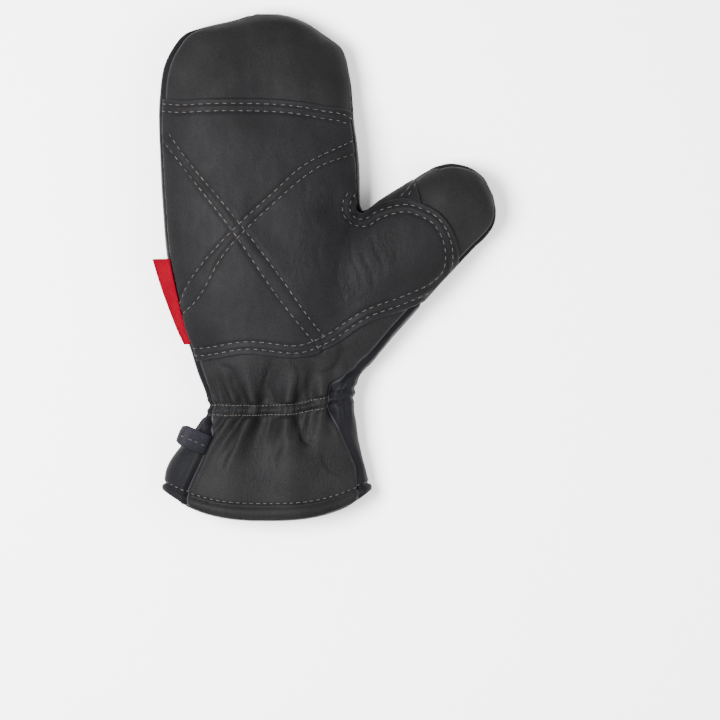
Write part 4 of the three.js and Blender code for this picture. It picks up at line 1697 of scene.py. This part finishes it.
@dataclass
class Seams:
    """Rows of thread, set along lines on the leather by Geometry Nodes."""

    material: bpy.types.Material
    hole_material: bpy.types.Material
    thread_radius: float = 0.2 * MM
    hole_share: float = 1.25
    hole_depth: float = 0.3 * MM
    hole_sides: int = 8
    sides: int = 6
    arc_steps: int = 5

    def tree(self, kind: Stitch) -> bpy.types.NodeTree:
        """The node tree that sets stitches or needle holes along lines.

        Args:
            kind: what is set.

        Returns:
            The tree, with inputs for pitch, length, radius and seed.
        """
        made = bpy.data.node_groups.new(f"row_of_{kind.value}", "GeometryNodeTree")
        sockets = {"Geometry": "Geometry", "Pitch": "Float", "Length": "Float", "Radius": "Float", "Seed": "Int"}
        for name, holds in sockets.items():
            made.interface.new_socket(name, in_out="INPUT", socket_type=f"NodeSocket{holds}")
        made.interface.new_socket("Geometry", in_out="OUTPUT", socket_type="NodeSocketGeometry")
        given = add_node(made, "NodeGroupInput", {}).outputs
        align = "FunctionNodeAlignRotationToVector"
        curve = add_node(made, "GeometryNodeMeshToCurve", {"Mesh": given["Geometry"]}).outputs[0]
        spaced = {"Curve": curve, "Length": given["Pitch"]}
        rows = add_node(made, "GeometryNodeResampleCurve", spaced, mode="LENGTH").outputs[0]
        tangent = add_node(made, "GeometryNodeInputTangent", {}).outputs[0]
        facing = add_node(made, "GeometryNodeInputNamedAttribute", {"Name": "facing"}, data_type="FLOAT_VECTOR")
        along = add_node(made, align, {"Vector": tangent}, axis="X").outputs[0]
        turned = {"Rotation": along, "Vector": facing.outputs[0]}
        upright = add_node(made, align, turned, axis="Z", pivot_axis="X").outputs[0]
        sink = calculated(made, "MULTIPLY", given["Radius"], -1.1)
        rise = calculated(made, "MULTIPLY", given["Radius"], 1.5)
        start, end = (
            add_node(made, "ShaderNodeCombineXYZ", {"X": shift, "Z": sink}).outputs[0]
            for shift in (calculated(made, "MULTIPLY", given["Length"], side) for side in (-0.5, 0.5))
        )
        if kind is Stitch.THREAD:
            top = add_node(made, "ShaderNodeCombineXYZ", {"Z": rise}).outputs[0]
            bend = {"Resolution": self.arc_steps, "Start": start, "Middle": top, "End": end}
            arc = add_node(made, "GeometryNodeCurveQuadraticBezier", bend).outputs[0]
            round_thread = {"Resolution": self.sides, "Radius": given["Radius"]}
            ring = add_node(made, "GeometryNodeCurvePrimitiveCircle", round_thread).outputs[0]
            swept = {"Curve": arc, "Profile Curve": ring, "Fill Caps": True}
            mark = add_node(made, "GeometryNodeCurveToMesh", swept).outputs[0]
        else:
            # Each needle hole is a dark disc beside the stitch: painted shadow in the hole.
            hole = {"Vertices": self.hole_sides, "Radius": given["Radius"], "Depth": self.hole_depth}
            disc = add_node(made, "GeometryNodeMeshCylinder", hole).outputs[0]
            joined = add_node(made, "GeometryNodeJoinGeometry", {})
            for place in (start, end):
                moved = add_node(made, "GeometryNodeTransform", {"Geometry": disc, "Translation": place})
                made.links.new(moved.outputs[0], joined.inputs[0])
            mark = joined.outputs[0]
        size = add_node(
            made,
            "FunctionNodeRandomValue",
            {"Min": (0.86, 0.9, 0.9), "Max": (1.1, 1.1, 1.15), "Seed": given["Seed"]},
            data_type="FLOAT_VECTOR",
        )
        repeated = {"Points": rows, "Instance": mark, "Rotation": upright, "Scale": size.outputs[0]}
        row = add_node(made, "GeometryNodeInstanceOnPoints", repeated)
        real = add_node(made, "GeometryNodeRealizeInstances", {"Geometry": row.outputs[0]})
        material = self.material if kind is Stitch.THREAD else self.hole_material
        smooth = add_node(made, "GeometryNodeSetShadeSmooth", {0: real.outputs[0]})
        dressed = add_node(made, "GeometryNodeSetMaterial", {"Geometry": smooth.outputs[0], "Material": material})
        add_node(made, "NodeGroupOutput", {0: dressed.outputs[0]})
        return made

    def sew(self, name: str, rows: list["Row"], pitch: float, length: float, seed: int) -> None:
        """Makes the stitches of some rows, and dark discs of painted shadow at their needle holes, as plain
        meshes.

        Args:
            name: the thread's name.
            rows: the rows' places and facings on the leather.
            pitch: from one stitch to the next.
            length: the visible length of a stitch.
            seed: for the small differences between stitches.
        """
        for kind, suffix, radius in (
            (Stitch.THREAD, "thread", self.thread_radius),
            (Stitch.HOLES, "needle_holes", self.thread_radius * self.hole_share),
        ):
            mesh = bpy.data.meshes.new(f"{name}_{suffix}")
            points = np.vstack([row.points for row in rows])
            facing = np.vstack([row.facing for row in rows])
            edges, start = [], 0
            for row in rows:
                edges += [(start + i, start + i + 1) for i in range(len(row.points) - 1)]
                start += len(row.points)
            mesh.from_pydata(points.tolist(), edges, [])
            layer = mesh.attributes.new("facing", "FLOAT_VECTOR", "POINT")
            layer.data.foreach_set("vector", facing.astype(np.float32).ravel())
            lines = placed(f"{name}_{suffix}", mesh)
            setter = lines.modifiers.new("stitches", "NODES")
            tree = self.tree(kind)
            setter.node_group = tree
            sockets = {item.name: item.identifier for item in tree.interface.items_tree if item.in_out == "INPUT"}
            for key, value in (("Pitch", pitch), ("Length", length), ("Radius", radius), ("Seed", seed)):
                setter[sockets[key]] = value
            evaluated = lines.evaluated_get(bpy.context.evaluated_depsgraph_get())
            real = bpy.data.meshes.new_from_object(evaluated)
            lines.modifiers.remove(setter)
            lines.data = real
            material = self.material if kind is Stitch.THREAD else self.hole_material
            finish_piece(lines, material, Slot.THREAD if kind is Stitch.THREAD else Slot.PALM)


@dataclass
class Row:
    """A line on the leather: its points and the leather's facing at each."""

    points: np.ndarray
    facing: np.ndarray

    @classmethod
    def dropped(cls, plan: np.ndarray, trees: Sequence[BVHTree], step: float = 1.2 * MM) -> list["Row"]:
        """Drops a line in plan onto the highest leather below it.

        Args:
            plan: the line's places in plan.
            trees: the leathers that it may land on.
            step: from one point to the next.

        Returns:
            The unbroken stretches that land.
        """
        spans = np.concatenate([[0], np.cumsum(np.linalg.norm(np.diff(plan, axis=0), axis=1))])
        places = np.arange(0, spans[-1], step)
        dense = np.stack([np.interp(places, spans, plan[:, k]) for k in range(2)], axis=1)
        runs, points, facing = [], [], []
        for x, y in dense:
            hits = [tree.ray_cast(Vector((x, y, 0.2)), Vector((0, 0, -1))) for tree in trees]
            hits = [hit for hit in hits if hit[0] is not None and hit[1].z > 0.15]
            if hits:
                best = max(hits, key=lambda hit: hit[0].z)
                points.append(best[0][:])
                facing.append(best[1][:])
            elif len(points) > 3:
                runs.append(cls(np.array(points), np.array(facing)))
                points, facing = [], []
        if len(points) > 3:
            runs.append(cls(np.array(points), np.array(facing)))
        return runs

    @classmethod
    def pressed(cls, line: np.ndarray, axis: np.ndarray, tree: BVHTree) -> "Row":
        """Presses a line round the hand onto the leather, towards the hand's middle.

        Args:
            line: the line's points, near the leather.
            axis: the middle of the hand beside each of them.
            tree: the leather.

        Returns:
            The row.
        """
        outward = line - axis
        outward /= np.linalg.norm(outward, axis=1)[:, None]
        points, facing = [], []
        for point, out in zip(line, outward):
            hit = tree.ray_cast(Vector(point + out * 9 * MM), Vector(-out), 18 * MM)
            if hit[0] is not None:
                points.append(hit[0][:])
                facing.append(out)
        return cls(np.array(points), np.array(facing))


@dataclass
class PullLoop:
    """The leather strip that is folded into a loop and sewn into the side seam of the cuff."""

    root: Vector
    reach: float = 18 * MM
    height: float = 12 * MM
    width: float = 12.8 * MM
    thickness: float = 1.8 * MM
    turn: float = math.radians(23)
    droop: float = math.radians(-6)
    corner: float = 0.7 * MM
    dome: float = 0.5 * MM
    row_off: float = 0.8 * MM
    row_ends: tuple[float, float] = (1.5 * MM, 2.5 * MM)

    def row(self) -> np.ndarray:
        """The row of stitches along the strip, in plan.

        Returns:
            The line's points.
        """
        c, s = math.cos(self.turn), math.sin(self.turn)
        out = np.linspace(-self.row_ends[0], self.row_ends[1] - self.reach, 24)
        line = np.stack([c * out - s * self.row_off, -s * out - c * self.row_off], axis=1)
        return line + np.array(self.root)[:2]

    def profile(self) -> np.ndarray:
        """The strip's middle line, from one sewn end round the fold to the other, in its own plane.

        Returns:
            The line's points, out and up.
        """
        radius = (self.height - self.thickness) / 2
        bend = -self.reach + self.height / 2
        upper = [
            (2.6 * MM, -6 * MM),
            (2.2 * MM, -2.5 * MM),
            (0.2 * MM, 1.2 * MM),
            (bend * 0.6, radius * 0.88),
            (bend, radius),
        ]
        arc = [(bend - radius * math.sin(a), radius * math.cos(a)) for a in np.linspace(0.35, math.pi - 0.35, 9)]
        lower = [(bend, -radius), (bend * 0.5, -radius * 0.75), (-0.6 * MM, -2.6 * MM), (0.6 * MM, -6 * MM)]
        return smooth_curve(upper + arc + lower, 5)

    def build(self, material: bpy.types.Material) -> Surface:
        """Makes the strip and dresses it.

        Args:
            material: its leather.

        Returns:
            The strip's surface.
        """
        line = self.profile()
        ahead = np.gradient(line, axis=0)
        ahead /= np.linalg.norm(ahead, axis=1)[:, None]
        out = np.stack([-ahead[:, 1], ahead[:, 0]], axis=1)
        half_width, half_wall = self.width / 2, self.thickness / 2
        corner = self.corner
        shape = []
        for sx, sz in ((1, 1), (-1, 1), (-1, -1), (1, -1)):
            for k in range(4):
                a = math.atan2(sz, sx) - math.pi / 4 + k * math.pi / 6
                shape.append((sx * (half_width - corner), sz * (half_wall - corner), a))
        ring = [(x + corner * math.cos(a), z + corner * math.sin(a)) for x, z, a in shape]
        across = np.linspace(0, 1, 9)
        dense = []
        for (x0, z0), (x1, z1) in zip(ring, ring[1:] + ring[:1]):
            steps = across[:-1] if abs(x1 - x0) > half_width else [0]
            dense += [(x0 + (x1 - x0) * t, z0 + (z1 - z0) * t) for t in steps]
        fold = line[:, 0].min()
        narrow = 1 - 0.16 * bump(line[:, 0] - fold, 4 * MM) ** 2
        side, wall = np.array(dense).T
        domed = wall - self.dome * (side / half_width) ** 2
        planes = [line[:, :1] - out[:, :1] * domed, narrow[:, None] * side, line[:, 1:] - out[:, 1:] * domed]
        rings = np.stack(planes, axis=-1)
        for angle, (i, j) in ((self.droop, (2, 0)), (self.turn, (1, 0))):
            a, b = rings[..., i].copy(), rings[..., j].copy()
            rings[..., i] = a * math.cos(angle) - b * math.sin(angle) * (1 if i == 1 else -1)
            rings[..., j] = b * math.cos(angle) + a * math.sin(angle) * (1 if i == 1 else -1)
        rings += np.array(self.root)
        surface = lofted("pull_loop_strip", rings)
        finish_piece(surface.piece("pull_loop_strip", LEATHER_VALUES), material, Slot.LOOP, "pull_loop")
        return surface


@dataclass
class SideTag:
    """The woven tag, folded double and sewn by its open edges into the side seam."""

    hand: Hand
    shift: np.ndarray
    length: float = 52.5 * MM
    drop: float = 15 * MM
    start_share: float = 0.306
    thickness: float = 1.0 * MM
    tuck: float = 2.4 * MM
    lean: tuple[float, float] = (0.2, 0.42)
    wave: float = 0.5 * MM

    def build(self, material: bpy.types.Material) -> None:
        """Makes the tag and dresses it.

        Args:
            material: its woven cloth.
        """
        rings = []
        for share in np.linspace(0, 1, 40):
            along = np.array([self.start_share * self.hand.length + share * self.length])
            m = self.hand.measures(along)
            seam = float(m["middle"][0] - m["half"][0])
            up = float(self.hand.seam_height(along)[0])
            out = self.drop * (self.lean[0] + self.lean[1] * share)
            fall = math.sqrt(self.drop**2 - out**2)
            wave = self.wave * math.sin(7 * share + 0.4)
            line = smooth_curve(
                [
                    (seam + 1.5 * MM, up + 0.3 * MM),
                    (seam - 0.9 * MM, up - 0.2 * MM),
                    (seam - out * 0.62 - wave, up - fall * 0.35),
                    (seam - out * 0.9 + wave, up - fall * 0.75),
                    (seam - out, up - fall),
                ],
                5,
            )
            ahead = np.gradient(line, axis=0)
            ahead /= np.linalg.norm(ahead, axis=1)[:, None]
            side = np.stack([-ahead[:, 1], ahead[:, 0]], axis=1)
            taper = np.ones(len(line)) * self.thickness / 2
            taper[-1] *= 0.55
            upper, lower = line + side * taper[:, None], line - side * taper[:, None]
            ring = np.vstack([upper, lower[::-1]])
            rings.append([(x, float(along[0]), z) for x, z in ring])
        tag = lofted("side_tag_weave", np.array(rings) + self.shift).piece("side_tag_weave")
        finish_piece(tag, material, Slot.TAG, "side_tag")


@dataclass(frozen=True)
class Studio:
    """A pale floor, soft light and a camera straight above, framed as the photograph is."""

    shift: np.ndarray
    view_width: float = 442 * MM
    aim: tuple[float, float, float] = (60.17 * MM, 79.82 * MM, 20 * MM)
    lens: float = 400.0
    sensor: float = 36.0
    half_floor: float = 3.0
    floor_colour: str = "#fcfcfc"
    room_light: float = 1.0
    softboxes: Sequence[tuple[str, tuple[float, float, float], float, float]] = (
        ("key_softbox", (-0.6, 0.0, 1.15), 0.6, 84.0),
        ("side_softbox", (0.9, -0.3, 1.0), 1.0, 26.0),
    )

    def build(self) -> None:
        """Makes the floor, the room's light, the softboxes and the camera."""
        self._floor()
        world = bpy.data.worlds.new("soft_room")
        world.use_nodes = True
        background = world.node_tree.nodes["Background"].inputs
        background["Color"].default_value = linear("#ffffff")
        background["Strength"].default_value = self.room_light
        bpy.context.scene.world = world
        for name, place, size, power in self.softboxes:
            lamp = bpy.data.lights.new(name, "AREA")
            lamp.size, lamp.energy = size, power
            holder = placed(name, lamp)
            holder.location = place
            holder.rotation_euler = (-Vector(place)).to_track_quat("-Z", "Y").to_euler()
        camera = bpy.data.cameras.new("overhead_camera")
        camera.lens, camera.sensor_width = self.lens, self.sensor
        distance = self.view_width * self.lens / self.sensor
        holder = placed("overhead_camera", camera)
        holder.location = Vector(self.aim) + Vector(self.shift) + Vector((0, 0, distance))
        bpy.context.scene.camera = holder

    def _floor(self) -> None:
        """Makes the matte white floor that the mitten lies on."""
        mesh = bpy.data.meshes.new("pale_floor")
        sides = ((-1, -1), (1, -1), (1, 1), (-1, 1))
        mesh.from_pydata([(x * self.half_floor, y * self.half_floor, 0) for x, y in sides], [], [(0, 1, 2, 3)])
        paint = bpy.data.materials.new("matte_white_sweep")
        paint.use_nodes = True
        shader = paint.node_tree.nodes["Principled BSDF"].inputs
        shader["Base Color"].default_value = linear(self.floor_colour)
        shader["Roughness"].default_value = 0.9
        mesh.materials.append(paint)
        placed("pale_floor", mesh)


@dataclass
class Mitten:
    """The whole mitten: what is sewn to what, and where its rows of stitches run."""

    hand: Hand = field(default_factory=Hand)
    thumb: Thumb = field(default_factory=Thumb)
    panel_voxel: float = 1.14 * MM
    patch_voxel: float = 0.95 * MM
    gusset_thickness: float = 0.9 * MM
    row_inset: float = 3.0 * MM
    row_spacing: float = 4.5 * MM
    pitch: float = 4.9 * MM
    stitch: float = 2.9 * MM
    wrist_pitch: float = 2.2 * MM
    wrist_stitch: float = 1.4 * MM
    wrist_wiggle: float = 0.4 * MM
    wrist_turns: tuple[float, float] = (0.132, 0.53)
    hem_pitch: float = 4.1 * MM
    hem_stitch: float = 2.3 * MM
    loop_pitch: float = 4.2 * MM
    loop_stitch: float = 2.6 * MM
    loop_from_hem: float = 28 * MM
    loop_above: float = 1.8 * MM
    steps: int = 8

    def patch_outline(self) -> np.ndarray:
        """The patch's outline in plan: over the hand's top, round the thumb and along the heel of the hand.

        Returns:
            The closed line's points.
        """
        round_thumb = self.on_thumb(PATCH_ROUND_THUMB)
        corners = np.vstack([self.hand.plan(PATCH_TOP), round_thumb, self.hand.plan(PATCH_HEEL)])
        return smooth_curve(corners, self.steps, closed=True)

    def on_thumb(self, rows: Plan) -> np.ndarray:
        """Places in plan from rows of shares across and along the thumb."""
        shares = np.array(rows)
        return self.thumb.to_plan(shares[:, 1] * self.thumb.length, shares[:, 0] * self.thumb.width)

    def patch_rows(self, shift: np.ndarray) -> list[np.ndarray]:
        """The patch's rows in plan: along its top, round the thumb to its left end, and the two crossed pairs.

        Args:
            shift: from the hand's own frame to the object's.

        Returns:
            The points of each line.
        """
        steps, outline = self.steps, self.patch_outline()
        last = len(outline) // steps - 1
        rows = []
        for inset in (self.row_inset, self.row_inset + self.row_spacing):
            rows.append(inset_line(outline, 0, 5 * steps, inset))
            rows.append(inset_line(outline, 6 * steps, last * steps, inset))
        rows += [smooth_curve(self.hand.plan(row), steps) for row in CROSSED_ROWS]
        return [row + shift[:2] for row in rows]

    def build(self, shift: np.ndarray) -> None:
        """Builds and dresses every piece, moved from the hand's own frame to the object's by a shift.

        Args:
            shift: from the hand's own frame to the object's.
        """
        skin = Skin(self.hand, self.thumb, shift, self.panel_voxel)
        whole = Panels(skin).build()
        fine_skin = Skin(self.hand, self.thumb, shift, self.patch_voxel).shaped(seams=False)
        rows = self.patch_rows(shift)
        patch_leather = FullGrainLeather("full_grain_leather_patch", dark="#0f0f10", light="#161517").material()
        patch = Overlay("palm_patch_leather", "palm_patch", fine_skin, self.patch_outline() + shift[:2], rows)
        patch_top = patch.build(patch_leather, Slot.PATCH)
        gusset_rows = [smooth_curve(self.hand.plan(row), self.steps) + shift[:2] for row in GUSSET_ROWS]
        gusset_outline = smooth_curve(self.on_thumb(GUSSET_OUTLINE), 6, closed=True) + shift[:2]
        gusset = Overlay("thumb_gusset_leather", "thumb_gusset", fine_skin, gusset_outline, gusset_rows)
        gusset.thickness = self.gusset_thickness
        gusset_top = gusset.build(patch_leather, Slot.PALM)
        self._sew(whole, [patch_top, gusset_top], [rows, gusset_rows], shift)

    def _round_hand(self, along: np.ndarray, turn: np.ndarray, shift: np.ndarray, tree: BVHTree) -> Row:
        """A row that runs round the hand at places along it.

        Args:
            along: the places along the hand.
            turn: the turn of each.
            shift: from the hand's own frame to the object's.
            tree: the skin that it is pressed onto.

        Returns:
            The row.
        """
        line = self.hand.points(along, turn)
        m = self.hand.measures(along)
        axis = np.stack([m["middle"] + (line[:, 0] - m["middle"]) * 0.55, line[:, 1], m["widest"]], axis=1)
        return Row.pressed(line + shift, axis + shift, tree)

    def _sew(
        self, whole: Surface, layers: list[Surface], rows: list[list[np.ndarray]], shift: np.ndarray
    ) -> None:
        """Sews the rows, and adds the loop and the tag.

        Args:
            whole: the shaped skin.
            layers: what lies on it.
            rows: the rows in plan on each of them.
            shift: from the hand's own frame to the object's.
        """
        seams = Seams(BondedThread().material(), NeedleHole().material())
        skin_tree = whole.tree()
        for name, layer, lines, seed in zip(("patch", "gusset"), layers, rows, (3, 4)):
            tree = layer.tree()
            runs = [run for line in lines for run in Row.dropped(line, [tree])]
            seams.sew(name, runs, self.pitch, self.stitch, seed)
        hand = self.hand
        turn = np.linspace(0, 2 * np.pi, 420)
        gathered = []
        first, last = (share * 2 * np.pi for share in self.wrist_turns)
        palm_turn = turn[(turn > first) & (turn < last)]
        for side in (-0.5, 0.5):
            wiggle = self.wrist_wiggle * np.sin(palm_turn * 9 + side) * np.sin(palm_turn * 4 + 1)
            along = hand.channel_middle(palm_turn) + side * hand.channel_width + wiggle
            gathered.append(self._round_hand(along, palm_turn, shift, skin_tree))
        seams.sew("wrist", gathered, self.wrist_pitch, self.wrist_stitch, 5)
        hem = self._round_hand(np.full_like(turn, hand.hem_row), turn, shift, skin_tree)
        seams.sew("hem", [hem], self.hem_pitch, self.hem_stitch, 7)
        leather = FullGrainLeather("full_grain_leather_loop", dark="#141418", light="#1e1d23").material()
        seam = hand.plan(sorted((row for row in PALM_SEAMS if -0.4 < row[0] < 0), key=lambda row: row[1]))
        across = np.interp(self.loop_from_hem, seam[:, 1], seam[:, 0])
        place = np.array([across, self.loop_from_hem, 0]) + shift
        hit = skin_tree.ray_cast(Vector((place[0], place[1], 0.2)), Vector((0, 0, -1)))
        loop = PullLoop(hit[0] + Vector((0, 0, self.loop_above)))
        strip = loop.build(leather)
        runs = Row.dropped(loop.row(), [strip.tree()])
        seams.sew("loop", runs, self.loop_pitch, self.loop_stitch, 9)
        SideTag(hand, shift).build(WovenTag().material())


def main() -> None:
    """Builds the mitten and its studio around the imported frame."""
    logging.basicConfig(level=logging.INFO, format="%(name)s %(message)s")
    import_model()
    mitten = Mitten()
    shift = Skin.frame_shift(mitten.hand, mitten.thumb)
    log.info("frame shift %s", shift)
    Studio(shift).build()
    mitten.build(shift)


if __name__ == "__main__":
    main()
